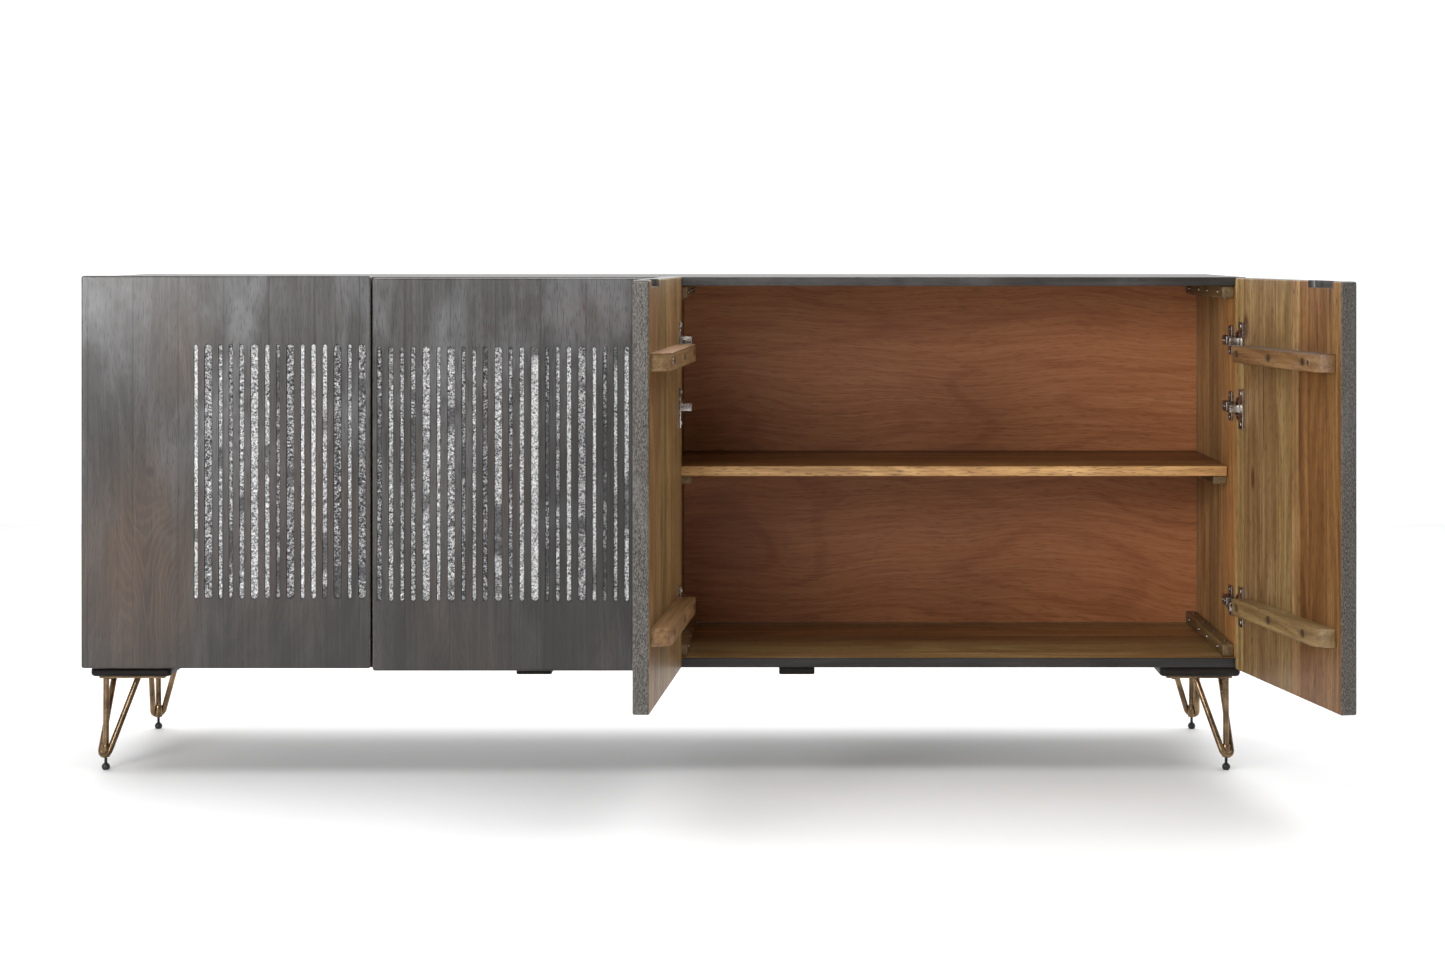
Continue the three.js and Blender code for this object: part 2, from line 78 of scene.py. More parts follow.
# %% Measure the case and the doors
case_low, case_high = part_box("top_panel")
case_low.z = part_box("bottom_panel")[0].z
middle_x = (case_low.x + case_high.x) / 2
front_y = case_low.y
floor_z = cad_box[0][2]
END_REVEAL = 0.5 * MM
CENTRE_GAP = 9 * MM
PAIR_GAP = 3 * MM
DOOR_THICKNESS = 24 * MM
DOOR_STANDOFF = 2 * MM
door_width = (case_high.x - case_low.x - 2 * END_REVEAL - 2 * PAIR_GAP - CENTRE_GAP) / 4
back_face_y = front_y - DOOR_STANDOFF


class Door:
    """A door's hinge edge, the way it runs, its pivot and the turn it stands at."""

    def __init__(self, number, edge, hand, face):
        self.body = f"door_{number}"
        self.edge = edge
        self.hand = hand
        self.face = face
        self.outer = number in (1, 4)
        joint = next(j for j in frame["joints"] if j["child"] == self.body)
        self.pivot = Vector(joint["pos_m"])
        self.turn = -math.radians(joint["range_deg"][0]) * joint["axis"][2]
        self.low, self.high = (corner.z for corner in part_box(f"{self.body}_panel"))
        self.rest = (
            Matrix.Translation(self.pivot)
            @ Matrix.Rotation(self.turn, 4, "Z")
            @ Matrix.Translation(-self.pivot)
        )

    def shut(self, along, out, height):
        """A point of the shut door.

        It is measured along from the hinge edge, out from the back face and up from the bottom.
        """
        return Vector((self.edge + self.hand * along, back_face_y + out, self.low + height))


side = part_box("left_side_panel")[1].x - case_low.x
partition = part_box("centre_partition")
doors = [
    Door(1, case_low.x + END_REVEAL, 1, case_low.x + side),
    Door(2, middle_x - CENTRE_GAP / 2, -1, partition[0].x),
    Door(3, middle_x + CENTRE_GAP / 2, 1, partition[1].x),
    Door(4, case_high.x - END_REVEAL, -1, case_high.x - side),
]
for door in doors:
    print(door.body, "stands at", round(math.degrees(door.turn), 1), "degrees")

# %% [markdown]
# ## Camera
# A long lens from well back keeps the case nearly free of perspective. The camera looks straight
# along the depth, so upright edges stay upright, and a small shift puts the sideboard in the frame.

# %% Place the camera
CAMERA_RIGHT = 184.4 * MM
CAMERA_BACK = 4500 * MM
CAMERA_HEIGHT = 833.9 * MM
CAMERA_SENSOR = 36
CAMERA_LENS = 71.19
CAMERA_SHIFT = (-0.0415, -0.1652)
camera_data = bpy.data.cameras.new("camera")
camera_data.sensor_width = CAMERA_SENSOR
camera_data.lens = CAMERA_LENS
camera_data.shift_x, camera_data.shift_y = CAMERA_SHIFT
camera = bpy.data.objects.new("camera", camera_data)
scene.collection.objects.link(camera)
camera.location = (middle_x + CAMERA_RIGHT, front_y - CAMERA_BACK, floor_z + CAMERA_HEIGHT)
camera.rotation_euler = (math.pi / 2, 0, 0)
scene.camera = camera
print("camera at", [round(v, 3) for v in camera.location])

# %% [markdown]
# ## Light and floor
# A furniture studio is a white sweep behind the piece and a darker room behind the camera. The
# main softbox stands a little left of the camera, one at the far left puts a sheen on the first
# door, a weak one on the right lifts the open bay, and one overhead keeps the floor white.

# %% Set the studio
FLOOR_SIZE = 26.0
FLOOR_BEHIND = 4.0
SWEEP_LIGHT = 1.25
ROOM_LIGHT = 0.18
ROOM_BLEND = (-0.25, 0.55)
# Each lamp's place, target, size and watts.
LAMPS = {
    "key": ((-0.7, -3.3, 1.45), (0.3, 0.3, 0.45), (1.1, 0.9), 29),
    "sheen": ((-1.78, -2.6, 1.10), (-1.1, 0.0, 0.8), (0.8, 0.7), 46),
    "fill": ((3.2, -2.0, 1.2), (0.0, -0.2, 0.45), (1.2, 1.2), 9),
    "overhead": ((0.0, 1.0, 3.4), (0.0, 1.0, 0.0), (6.0, 5.0), 185),
}


def add_softbox(name, place, target, size, power):
    data = bpy.data.lights.new(name, "AREA")
    data.shape = "RECTANGLE"
    data.size, data.size_y = size
    data.energy = power
    lamp = bpy.data.objects.new(name, data)
    scene.collection.objects.link(lamp)
    lamp.location = place
    lamp.rotation_euler = (Vector(target) - Vector(place)).to_track_quat("-Z", "Y").to_euler()


def make_room():
    """White towards the back, dim towards the front."""
    world = bpy.data.worlds.new("room")
    world.use_nodes = True
    nodes, links = world.node_tree.nodes, world.node_tree.links
    direction = nodes.new("ShaderNodeTexCoord")
    parts = nodes.new("ShaderNodeSeparateXYZ")
    blend = nodes.new("ShaderNodeMapRange")
    blend.interpolation_type = "SMOOTHSTEP"
    limits = (*ROOM_BLEND, ROOM_LIGHT, SWEEP_LIGHT)
    for socket, limit in zip(("From Min", "From Max", "To Min", "To Max"), limits):
        blend.inputs[socket].default_value = limit
    links.new(direction.outputs["Generated"], parts.inputs[0])
    links.new(parts.outputs["Y"], blend.inputs["Value"])
    background = nodes["Background"]
    background.inputs["Color"].default_value = (1.0, 1.0, 1.0, 1)
    links.new(blend.outputs["Result"], background.inputs["Strength"])
    return world


scene.world = make_room()
scene.view_settings.view_transform = "Standard"
for lamp_name, lamp_values in LAMPS.items():
    add_softbox(lamp_name, *lamp_values)

floor_bm = bmesh.new()
bmesh.ops.create_grid(floor_bm, x_segments=1, y_segments=1, size=FLOOR_SIZE / 2)
floor_mesh = bpy.data.meshes.new("studio_floor")
floor_bm.to_mesh(floor_mesh)
floor_bm.free()
studio_floor = bpy.data.objects.new("studio_floor", floor_mesh)
scene.collection.objects.link(studio_floor)
studio_floor.location = (0, FLOOR_BEHIND - FLOOR_SIZE / 2, floor_z)

# %% [markdown]
# ## Sums on sockets
# A finish is easiest to read as a sum. The Value class wraps a node's socket, so that an
# expression such as `1 - mask * 0.5` adds the Math nodes it needs, and Finish.node adds any
# other node from its type, its settings and the values or links of its sockets.


# %% Write finishes as sums
class Value:
    """A node's output socket that can be added, subtracted, multiplied, divided and compared."""

    def __init__(self, finish, socket):
        self.finish = finish
        self.socket = socket

    def _math(self, operation, first, second):
        return self.finish.node("ShaderNodeMath", {"operation": operation}, {0: first, 1: second})

    def __add__(self, other):
        return self._math("ADD", self, other)

    def __sub__(self, other):
        return self._math("SUBTRACT", self, other)

    def __rsub__(self, other):
        return self._math("SUBTRACT", other, self)

    def __mul__(self, other):
        return self._math("MULTIPLY", self, other)

    def __truediv__(self, other):
        return self._math("DIVIDE", self, other)

    def __gt__(self, other):
        return self._math("GREATER_THAN", self, other)

    __radd__ = __add__
    __rmul__ = __mul__


class Finish:
    """A material whose nodes are added by calls."""

    def __init__(self, name, **uniform):
        self.material = bpy.data.materials.new(name)
        self.material.use_nodes = True
        self.tree = self.material.node_tree
        self.shader = self.tree.nodes["Principled BSDF"]
        for key, value in uniform.items():
            self.shader.inputs[key.replace("_", " ")].default_value = value

    def node(self, kind, settings=None, inputs=None, output=0):
        made = self.tree.nodes.new(kind)
        for key, value in (settings or {}).items():
            if key == "stops":
                self._set_stops(made.color_ramp, value)
            else:
                setattr(made, key, value)
        for key, value in (inputs or {}).items():
            self.link(value, made.inputs[key])
        return Value(self, made.outputs[output])

    def link(self, value, socket):
        if isinstance(value, Value):
            self.tree.links.new(value.socket, socket)
        else:
            socket.default_value = value

    def _set_stops(self, ramp, stops):
        while len(ramp.elements) < len(stops):
            ramp.elements.new(0.5)
        for element, (place, colour) in zip(ramp.elements, stops):
            element.position = place
            element.color = (*colour, 1)

    def set(self, **links):
        for key, value in links.items():
            self.link(value, self.shader.inputs[key.replace("_", " ")])

    def point(self, turn=0.0, about=(0, 0, 0)):
        """The piece's own coordinates, turned back by an angle about an upright line."""
        own = self.node("ShaderNodeTexCoord", output="Object")
        if not turn:
            return own
        back = Matrix.Rotation(-turn, 3, "Z")
        place = Vector(about) - back @ Vector(about)
        inputs = {"Vector": own, "Location": place, "Rotation": (0, 0, -turn)}
        return self.node("ShaderNodeMapping", {}, inputs)

    def split(self, point):
        parts = self.node("ShaderNodeSeparateXYZ", {}, {0: point})
        outputs = parts.socket.node.outputs
        return [Value(self, outputs[i]) for i in range(3)]

    def join(self, x, y, z):
        return self.node("ShaderNodeCombineXYZ", {}, {0: x, 1: y, 2: z})

    def cloud(self, point, scale=1.0, detail=2.0, roughness=0.5, distortion=0.0):
        inputs = {"Vector": point, "Scale": scale, "Detail": detail}
        inputs.update({"Roughness": roughness, "Distortion": distortion})
        return self.node("ShaderNodeTexNoise", {}, inputs)

    def luck(self, number):
        return self.node("ShaderNodeTexWhiteNoise", {"noise_dimensions": "1D"}, {"W": number})

    def rise(self, value, low, high):
        """0 below low, 1 above high, smooth between."""
        inputs = {"Value": value, "From Min": low, "From Max": high}
        return self.node("ShaderNodeMapRange", {"interpolation_type": "SMOOTHSTEP"}, inputs)

    def unary(self, operation, value):
        return self.node("ShaderNodeMath", {"operation": operation}, {0: value})

    def ramp(self, value, *stops):
        return self.node("ShaderNodeValToRGB", {"stops": stops}, {0: value})

    def mix(self, factor, first, second, blend="MIX"):
        first, second = ((*c, 1) if isinstance(c, tuple) else c for c in (first, second))
        settings = {"data_type": "RGBA", "blend_type": blend}
        return self.node("ShaderNodeMix", settings, {0: factor, 6: first, 7: second}, output=2)

    def grey(self, value):
        """A number as a neutral colour, to tint another colour with."""
        return self.node("ShaderNodeCombineColor", {}, {0: value, 1: value, 2: value})

    def bump(self, height, depth):
        return self.node("ShaderNodeBump", {}, {"Height": height, "Distance": depth})


print("finish helpers ready")

# %% [markdown]
# ## Wood as boards
# Furniture panels are edge-glued from boards. Each board is a slice of a different tree, so every
# board gets its own shift of one pattern. The pattern is three things laid over each other: growth
# rings, which are the contour lines of a slow noise stretched along the grain, streaks of colour,
# and fine dark pores. Boards meet at thin dark glue lines.


# %% Make the grain
X, Y, Z = 0, 1, 2
GROWTH_RINGS = 11.0
SEAM_EDGE = 1.2 * MM
SEAM_CORE = 0.3 * MM


class Grain:
    """The pattern of boards: tone, pores, glue lines and a height for the bump."""

    def __init__(self, finish, point, along, across, width, seed=0.0):
        parts = finish.split(point)
        lengthways = parts[along]
        sideways = parts[across]
        through = parts[3 - along - across]
        row = sideways / width + seed
        board = finish.unary("FLOOR", row)
        self.board_luck = finish.luck(board + seed * 3.7)
        self.board_hue = finish.luck(board * 1.7 + seed * 9.1 + 4.0)
        shift = self.board_luck * 9.0
        a = lengthways + shift
        wander = finish.cloud(finish.join(a * 2.2, sideways * 9.0, shift), 1.0, 1.5) - 0.5
        b = sideways + shift * 0.37 + wander * 0.030
        c = through + shift * 0.21
        slow = finish.cloud(finish.join(a * 1.5, b * 8.0, c * 8.0), 1.0, 1.0, 0.4, 0.2)
        wave = finish.unary("SINE", slow * GROWTH_RINGS * 2 * math.pi)
        rings = finish.rise(wave, -0.6, 1.0)
        wobble = finish.cloud(finish.join(a * 20.0, b * 60.0, 0.0), 1.0, 1.0) * 0.03
        fine_wave = finish.unary("SINE", (slow + wobble) * GROWTH_RINGS * 30)
        self.fine_rings = finish.rise(fine_wave, -0.2, 1.0)
        self.streaks = finish.cloud(finish.join(a * 3.0, b * 240.0, c * 240.0), 1.0, 3.0, 0.6)
        fibres = finish.cloud(finish.join(a * 30.0, b * 1100.0, c * 1100.0), 1.0, 1.0, 0.6)
        pore_seed = finish.cloud(finish.join(a * 62.0, b * 640.0, c * 640.0), 1.0, 0.0)
        self.pores = finish.rise(pore_seed, 0.63, 0.72)
        self.patches = finish.cloud(finish.join(a * 3.0, b * 20.0, c * 20.0), 1.0, 2.0, 0.55, 0.3)
        self.knots = finish.rise(self.patches, 0.69, 0.76)
        fraction = finish.unary("FRACT", row)
        from_seam = finish.unary("ABSOLUTE", fraction - 0.5)
        self.seam = finish.rise(from_seam, 0.5 - SEAM_EDGE / width, 0.5 - SEAM_CORE / width)
        mid = finish.cloud(finish.join(a * 2.6, b * 90.0, c * 90.0), 1.0, 2.0, 0.55)
        self.tone = rings * 0.07 + self.streaks * 0.38 + mid * 0.28 + self.patches * 0.30
        self.height = fibres * 0.55 + self.streaks * 0.25 - self.pores * 0.5 - self.seam * 0.6


def natural_colour(finish, grain, painted_light=1.0, warm=0.0):
    """Oiled pale hardwood: straw and tan boards with brown streaks and a few dark knots. A
    brightness factor for the whole piece paints light and shade on it.
    """
    base = finish.ramp(
        grain.tone,
        (0.30, (0.120, 0.060, 0.020)),
        (0.43, (0.255, 0.140, 0.052)),
        (0.54, (0.360, 0.215, 0.088)),
        (0.66, (0.500, 0.340, 0.160)),
    )
    tint = grain.board_luck * 0.46 + 0.60
    base = finish.mix(1.0, base, finish.grey(tint * painted_light), "MULTIPLY")
    red = finish.mix(1.0, base, (1.05, 0.76, 0.52), "MULTIPLY")
    green = finish.mix(1.0, base, (0.86, 0.98, 0.86), "MULTIPLY")
    base = finish.mix(finish.rise(grain.board_hue, 0.45, 0.95) * 0.75 + warm, base, red)
    base = finish.mix((1 - finish.rise(grain.board_hue, 0.05, 0.4)) * 0.6, base, green)
    base = finish.mix(grain.knots * 0.7, base, (0.050, 0.022, 0.008))
    base = finish.mix(grain.pores * 0.62, base, (0.070, 0.034, 0.013))
    return finish.mix(grain.seam * 0.75, base, (0.045, 0.020, 0.008))


def stained_colour(finish, point, grain, seed=0.0, clouds_and_sheen=1.0):
    """Grey stain rubbed thin, so that cool clouds and warm bare figure show through it. Painted
    light makes it lighter towards the top, where the clouds also add a painted sheen.
    """
    base = finish.ramp(
        grain.tone,
        (0.32, (0.016, 0.0138, 0.0124)),
        (0.48, (0.030, 0.0265, 0.0240)),
        (0.64, (0.058, 0.0522, 0.0482)),
    )
    x, y, z = finish.split(point)
    drift = finish.join(x * 8.0 + seed, y * 8.0, z * 3.4)
    cool_clouds_and_sheen = finish.rise(finish.cloud(drift, 1.0, 4.0, 0.6, 0.4), 0.45, 0.70)
    # Painted light: the stain is made lighter towards the top and darker towards the bottom.
    high = finish.rise(z, 0.20, 0.80)
    base = finish.mix(1.0, base, finish.grey(high * 0.42 + 0.62), "MULTIPLY")
    # Pale cool clouds, gathered towards the top: partly cloudy stain, partly a painted sheen.
    base = finish.mix(cool_clouds_and_sheen * (high * 0.62 + 0.10) * clouds_and_sheen, base, (0.150, 0.150, 0.158))
    bare = finish.join(x * 5.2 + 4.0 + seed, y * 5.2, z * 2.1 + 1.7)
    warm = finish.rise(finish.cloud(bare, 1.0, 2.0, 0.5, 0.5), 0.48, 0.72)
    low = 1 - finish.rise(z, 0.30, 0.80)
    show = warm * (grain.fine_rings * 0.3 + 0.4) * (low * 0.4 + 0.15)
    base = finish.mix(show, base, (0.100, 0.060, 0.037))
    base = finish.mix(grain.knots * 0.5, base, (0.015, 0.013, 0.012))
    base = finish.mix(grain.pores * 0.45, base, (0.014, 0.013, 0.012))
    return finish.mix(grain.seam * 0.3, base, (0.02, 0.018, 0.017))


print("wood patterns ready")

# %% [markdown]
# ## Door leaves
# A door is stained on its front and edges and only oiled on the back. Both finishes are on one
# solid, so the mask is the distance from the back face. The pattern is read as if every door were
# shut, and then the grain runs on across the whole front whatever the doors do.

# %% Finish the door leaves
DOOR_BOARD = 71 * MM
STAIN_EDGE = 0.7 * MM
FREE_EDGE = 1.6 * MM
REDDER_BLEND = 3 * MM
# Where stain was rubbed through, in millimetres: along from the hinge edge, up from the bottom,
# half sizes, and then a strength.
RUBBED = {
    "door_1": [(95, 170, 140, 270, 0.85), (150, 500, 70, 150, 0.4)],
    "door_2": [(120, 560, 120, 60, 0.30)],
    "door_3": [(250, 300, 120, 300, 0.4)],
    "door_4": [(120, 200, 130, 250, 0.6)],
}
SMALL_KNOTS = {"door_1": [(43, 353, 9, 11), (108, 308, 10, 12)]}
# Bark pockets and open seams on the oiled backs.
BARK = {
    "door_3": [(300, 250, 9, 30), (180, 420, 3, 150)],
    "door_4": [(83, 306, 12, 26), (52, 540, 16, 28), (287, 400, 4.5, 170), (131, 430, 3.5, 130)],
}
REDDER_BOARD = {"door_4": 288}


def spot(finish, x, z, door, place, soft=0.25):
    """1 in the middle of an ellipse on a door and 0 outside it."""
    along, up, half_x, half_z = (v * MM for v in place)
    side = (x - (door.edge + door.hand * along)) / half_x
    rise = (z - (door.low + up)) / half_z
    return 1 - finish.rise(finish.unary("SQRT", side * side + rise * rise), soft, 1.0)


def door_finish(door, seed):
    finish = Finish(f"{door.body}_leaf", Coat_Roughness=0.24, IOR=1.46, Specular_IOR_Level=0.25)
    point = finish.point(door.turn, door.pivot)
    grain = Grain(finish, point, Z, X, DOOR_BOARD, seed)
    x, y, z = finish.split(point)
    back = y > back_face_y - STAIN_EDGE
    stained = stained_colour(finish, point, grain, seed)
    for *place, strength in RUBBED[door.body]:
        figure = (grain.fine_rings * 0.22 + grain.patches) * spot(finish, x, z, door, place, 0.0)
        stained = finish.mix(figure * strength, stained, (0.118, 0.066, 0.038))
    for place in SMALL_KNOTS.get(door.body, []):
        stained = finish.mix(spot(finish, x, z, door, place) * 0.7, stained, (0.018, 0.016, 0.016))
    along = (x - door.edge) * door.hand
    free = along > door_width - FREE_EDGE
    chalk = finish.cloud(finish.join(x * 420.0, y * 620.0, z * 260.0), 1.0, 3.0, 0.75)
    worn = free * finish.rise(chalk, 0.40, 0.64)
    stained = finish.mix(worn * 0.55, stained, (0.230, 0.212, 0.180))
    oiled = natural_colour(finish, grain)
    if door.body in REDDER_BOARD:
        start = REDDER_BOARD[door.body] * MM
        redder = finish.mix(1.0, oiled, (0.70, 0.56, 0.44), "MULTIPLY")
        oiled = finish.mix(finish.rise(along, start, start + REDDER_BLEND), oiled, redder)
    for place in BARK.get(door.body, []):
        bark = spot(finish, x, z, door, place, 0.35) * 0.8
        oiled = finish.mix(bark, oiled, (0.055, 0.020, 0.008))
    finish.set(
        Base_Color=finish.mix(back, stained, oiled),
        Roughness=grain.streaks * 0.16 + 0.34 + back * 0.08,
        Coat_Weight=0.58 - back * 0.46,
        Normal=finish.bump(grain.height, 0.0006),
    )
    return finish.material


def dress(node, material):
    """Give a CAD piece its material."""
    slots = frame["nodes"][node].data.materials
    slots.clear()
    slots.append(material)


for number, door in enumerate(doors):
    dress(f"{door.body}_panel", door_finish(door, 0.31 + 2.0 * number))
print("four door leaves finished")

# %% [markdown]
# ## Case panels
# The outsides and front edges of the case are stained like the doors, and the insides are oiled.
# Each panel has one inner face, so each panel's mask is again a distance, from that face.

# %% Finish the case panels
CASE_BOARD = 96 * MM
STAINED_FRONT = 1.4 * MM
inner_left = case_low.x + side
inner_right = case_high.x - side
inner_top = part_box("top_panel")[0].z
inner_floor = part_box("bottom_panel")[1].z


def case_finish(name, along, across, mask_axis, face, sign, seed, painted_light=1.0):
    """Stained outside and oiled inside: sign is the side of the face that is inside."""
    finish = Finish(f"{name}_finish", Coat_Roughness=0.3, IOR=1.46, Specular_IOR_Level=0.25)
    point = finish.point()
    grain = Grain(finish, point, along, across, CASE_BOARD, seed)
    parts = finish.split(point)
    inside = (parts[mask_axis] - face) * sign > -STAIN_EDGE / 2
    behind = parts[Y] > front_y + STAINED_FRONT
    oiled = inside * behind
    stained = stained_colour(finish, point, grain, seed, 0.35)
    finish.set(
        Base_Color=finish.mix(oiled, stained, natural_colour(finish, grain, painted_light)),
        Roughness=grain.streaks * 0.16 + 0.38,
        Coat_Weight=0.3 - oiled * 0.2,
        Normal=finish.bump(grain.height, 0.0004),
    )
    dress(name, finish.material)


# The last number on each line is painted light and shade on the oiled insides: the lit sides and
# floor lighter, the shaded underside of the top darker.
case_finish("top_panel", X, Y, Z, inner_top, -1, 1.3, 0.9)
case_finish("bottom_panel", X, Y, Z, inner_floor, 1, 5.2, 1.1)
case_finish("left_side_panel", Z, Y, X, inner_left, 1, 2.4, 1.25)
case_finish("right_side_panel", Z, Y, X, inner_right, -1, 3.9, 1.25)
print("case panels finished")

# %% [markdown]
# ## Oiled pieces inside
# Shelves, cleats and battens are cut from the same oiled wood, each piece given its own brightness
# as painted light and shade. Their CAD solids have hard edges, so an eased copy stands for each
# one: its doubles are merged and a small bevel rounds every corner, as a pass of sandpaper does.

# %% Ease the edges of the oiled pieces
EASE = 0.9 * MM
SHELF_EASE = 1.4 * MM
BATTEN_EASE = 1.2 * MM
MERGE = 1e-6
SHARP_ANGLE = 0.6
SMOOTH_ANGLE = 38
BATTEN_START = 69 * MM
BATTEN_END_MARGIN = 20 * MM
HOLE_FIRST = 17 * MM
HOLE_LAST = 60 * MM
HOLE_COUNT = 3
BATTEN_FACE = 28.3 * MM
HOLE_DEPTH = 11 * MM
HOLE_FLOOR = BATTEN_FACE - HOLE_DEPTH
BATTEN_HEIGHTS = (("upper", -117 * MM), ("lower", 107 * MM))


def batten_holes(door):
    """Along and up in millimetres of each screw hole in a door's two battens."""
    first = BATTEN_START + HOLE_FIRST
    last = door_width - BATTEN_END_MARGIN - HOLE_LAST
    for level, offset in BATTEN_HEIGHTS:
        height = offset if offset > 0 else door.high - door.low + offset
        for i in range(HOLE_COUNT):
            yield (first + (last - first) * i / (HOLE_COUNT - 1)) / MM, height / MM


def oiled_finish(name, along, across, width, seed, painted_light=1.0, warm=0.0, door=None, painted_light_depth=None):
    """A brightness factor paints light and shade on the whole piece, a given depth paints light
    onto all that stands in front of it, and a door's battens get painted shade in their screw
    holes.
    """
    finish = Finish(name, Coat_Roughness=0.32, IOR=1.47, Coat_Weight=0.1)
    point = finish.point(door.turn, door.pivot) if door else finish.point()
    grain = Grain(finish, point, along, across, width, seed)
    colour = natural_colour(finish, grain, painted_light, warm)
    x, y, z = finish.split(point)
    if painted_light_depth is not None:
        # Painted light: all in front of the depth, the piece's front edge, is made paler as if lit.
        edge = 1 - finish.rise(y, painted_light_depth, painted_light_depth + 1.5 * MM)
        pale = finish.mix(1.0, colour, (1.85, 2.3, 2.9), "MULTIPLY")
        colour = finish.mix(edge, colour, pale)
    for place in batten_holes(door) if door else []:
        # Painted shade: a dark ellipse in each batten screw hole.
        hole_shade = spot(finish, x, z, door, (*place, 17, 9), 0.3)
        colour = finish.mix(hole_shade * 0.8, colour, (0.050, 0.024, 0.011))
    finish.set(
        Base_Color=colour,
        Roughness=grain.streaks * 0.15 + 0.42,
        Normal=finish.bump(grain.height, 0.0004),
    )
    return finish.material


def smooth_edges(mesh):
    mesh.shade_smooth()
    mesh.set_sharp_from_angle(angle=math.radians(SMOOTH_ANGLE))


def round_edges(bm, edges, offset, segments=2):
    bmesh.ops.bevel(
        bm, geom=edges, offset=offset, segments=segments, profile=0.5, affect="EDGES", material=-1,
        clamp_overlap=True,
    )


def add_piece(bm, name, material, body):
    """Turn a finished bmesh into a piece that rides on a body."""
    mesh = bpy.data.meshes.new(name)
    bm.to_mesh(mesh)
    bm.free()
    smooth_edges(mesh)
    mesh.materials.append(material)
    piece = bpy.data.objects.new(name, mesh)
    scene.collection.objects.link(piece)
    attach(piece, body)
    return piece


def eased_copy(node, material, body, ease=EASE):
    bm = bmesh.new()
    bm.from_mesh(frame["nodes"][node].data)
    bmesh.ops.remove_doubles(bm, verts=bm.verts, dist=MERGE)
    bmesh.ops.dissolve_limit(bm, angle_limit=math.radians(1), verts=bm.verts, edges=bm.edges)
    sharp = [e for e in bm.edges if len(e.link_faces) == 2 and e.calc_face_angle() > SHARP_ANGLE]
    round_edges(bm, sharp, ease, 3)
    piece = add_piece(bm, f"{node}_eased", material, body)
    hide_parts(node)
    return piece


# The shelves' front edges are made paler in front of this depth: painted light.
shelf_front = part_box("left_shelf")[0].y
# In the calls below, the number after each seed is painted light and shade for the whole piece; the
# cleat wood, made for the shade under the shelves, is the darkest.
shelf_wood = oiled_finish("shelf_wood", X, Y, 118 * MM, 7.7, 0.95, 0.2, painted_light_depth=shelf_front + 0.5 * MM)
cleat_wood = oiled_finish("cleat_wood", Y, X, 60 * MM, 9.1, 0.72)
partition_wood = oiled_finish("partition_wood", Z, Y, 90 * MM, 4.6, 0.95)
for side_name in ("left", "right"):
    eased_copy(f"{side_name}_shelf", shelf_wood, "root", SHELF_EASE)
    for end in ("inner", "outer"):
        eased_copy(f"{side_name}_shelf_cleat_{end}", cleat_wood, "root")
eased_copy("centre_partition", partition_wood, "root")
for number, door in enumerate(doors):
    wood = oiled_finish(
        f"{door.body}_batten_wood", X, Z, 64 * MM, 0.45 + number, 0.82, 0.35, door=door
    )
    for level in ("upper", "lower"):
        eased_copy(f"{door.body}_batten_{level}", wood, door.body, BATTEN_EASE)

# %% [markdown]
# ## Back sheet
# The back is a thin sheet of rotary-cut plywood. A veneer peeled off a log crosses the growth
# rings at a very flat angle, so its figure is long slow waves, redder than the solid boards.

# %% Finish the back sheet
veneer = Finish("back_veneer", IOR=1.45)
veneer_point = veneer.point()
vx, vy, vz = veneer.split(veneer_point)
bend = veneer.cloud(veneer.join(vx * 2.1, vy, vz * 3.0), 1.0, 2.0, 0.5) - 0.5
sweep = veneer.cloud(veneer.join(vx * 1.1, vy, vz * 5.0 + bend * 0.7), 1.0, 1.5, 0.45, 0.15)
waves = veneer.rise(veneer.unary("SINE", sweep * 85.0 + bend * 8.0), 0.55, 1.0)
broad = veneer.rise(veneer.unary("SINE", sweep * 19.0), -1.0, 1.0)
hair = veneer.cloud(veneer.join(vx * 7.0, vy, (vz + bend * 0.10) * 230.0), 1.0, 3.0, 0.65)
flecks = veneer.rise(
    veneer.cloud(veneer.join(vx * 55.0, vy, (vz + bend * 0.10) * 620.0), 1.0, 0.0), 0.60, 0.72
)
veneer_tone = broad * 0.06 - waves * 0.06 + hair * 0.44 + sweep * 0.42
veneer_colour = veneer.ramp(
    veneer_tone,
    (0.28, (0.300, 0.092, 0.027)),
    (0.45, (0.430, 0.158, 0.054)),
    (0.62, (0.550, 0.236, 0.094)),
)
veneer_colour = veneer.mix(flecks * 0.35, veneer_colour, (0.18, 0.062, 0.022))
veneer.set(
    Base_Color=veneer_colour,
    Roughness=hair * 0.15 + 0.42,
    Normal=veneer.bump(hair * 0.7 - flecks * 0.4, 0.0003),
)
dress("back_panel", veneer.material)
print("back sheet finished")

# %% [markdown]
# ## Silver inlay
# The slots hold crinkled silver strips, made here like foil over a rough filling, with painted
# highlights on the lumps and facets and painted shade in the cracks. One noise drives the colour,
# the gloss and the bump, so that the painted light and shade stay on the same lumps.

# %% Finish the silver
silver = Finish("crinkled_silver", Metallic=0.7, IOR=1.5)
silver_point = silver.point()
silver_up = silver.split(silver_point)[Z]
luck = silver.node("ShaderNodeAttribute", {"attribute_name": "luck"}, output=2)
facets = silver.node(
    "ShaderNodeTexVoronoi",
    {"feature": "F1"},
    {"Vector": silver_point, "Scale": 300.0, "Detail": 1.0, "Randomness": 1.0},
    output=1,
)
facet_glint = silver.split(facets)[0]
lumps = silver.cloud(silver_point, 400.0, 3.0, 0.75, 0.5)
wear_field = silver.cloud(silver.join(luck * 50.0, 0.0, silver_up * 11.0), 1.0, 2.0, 0.6)
worn = silver.rise(wear_field + (1 - luck) * 0.10, 0.60, 0.68)
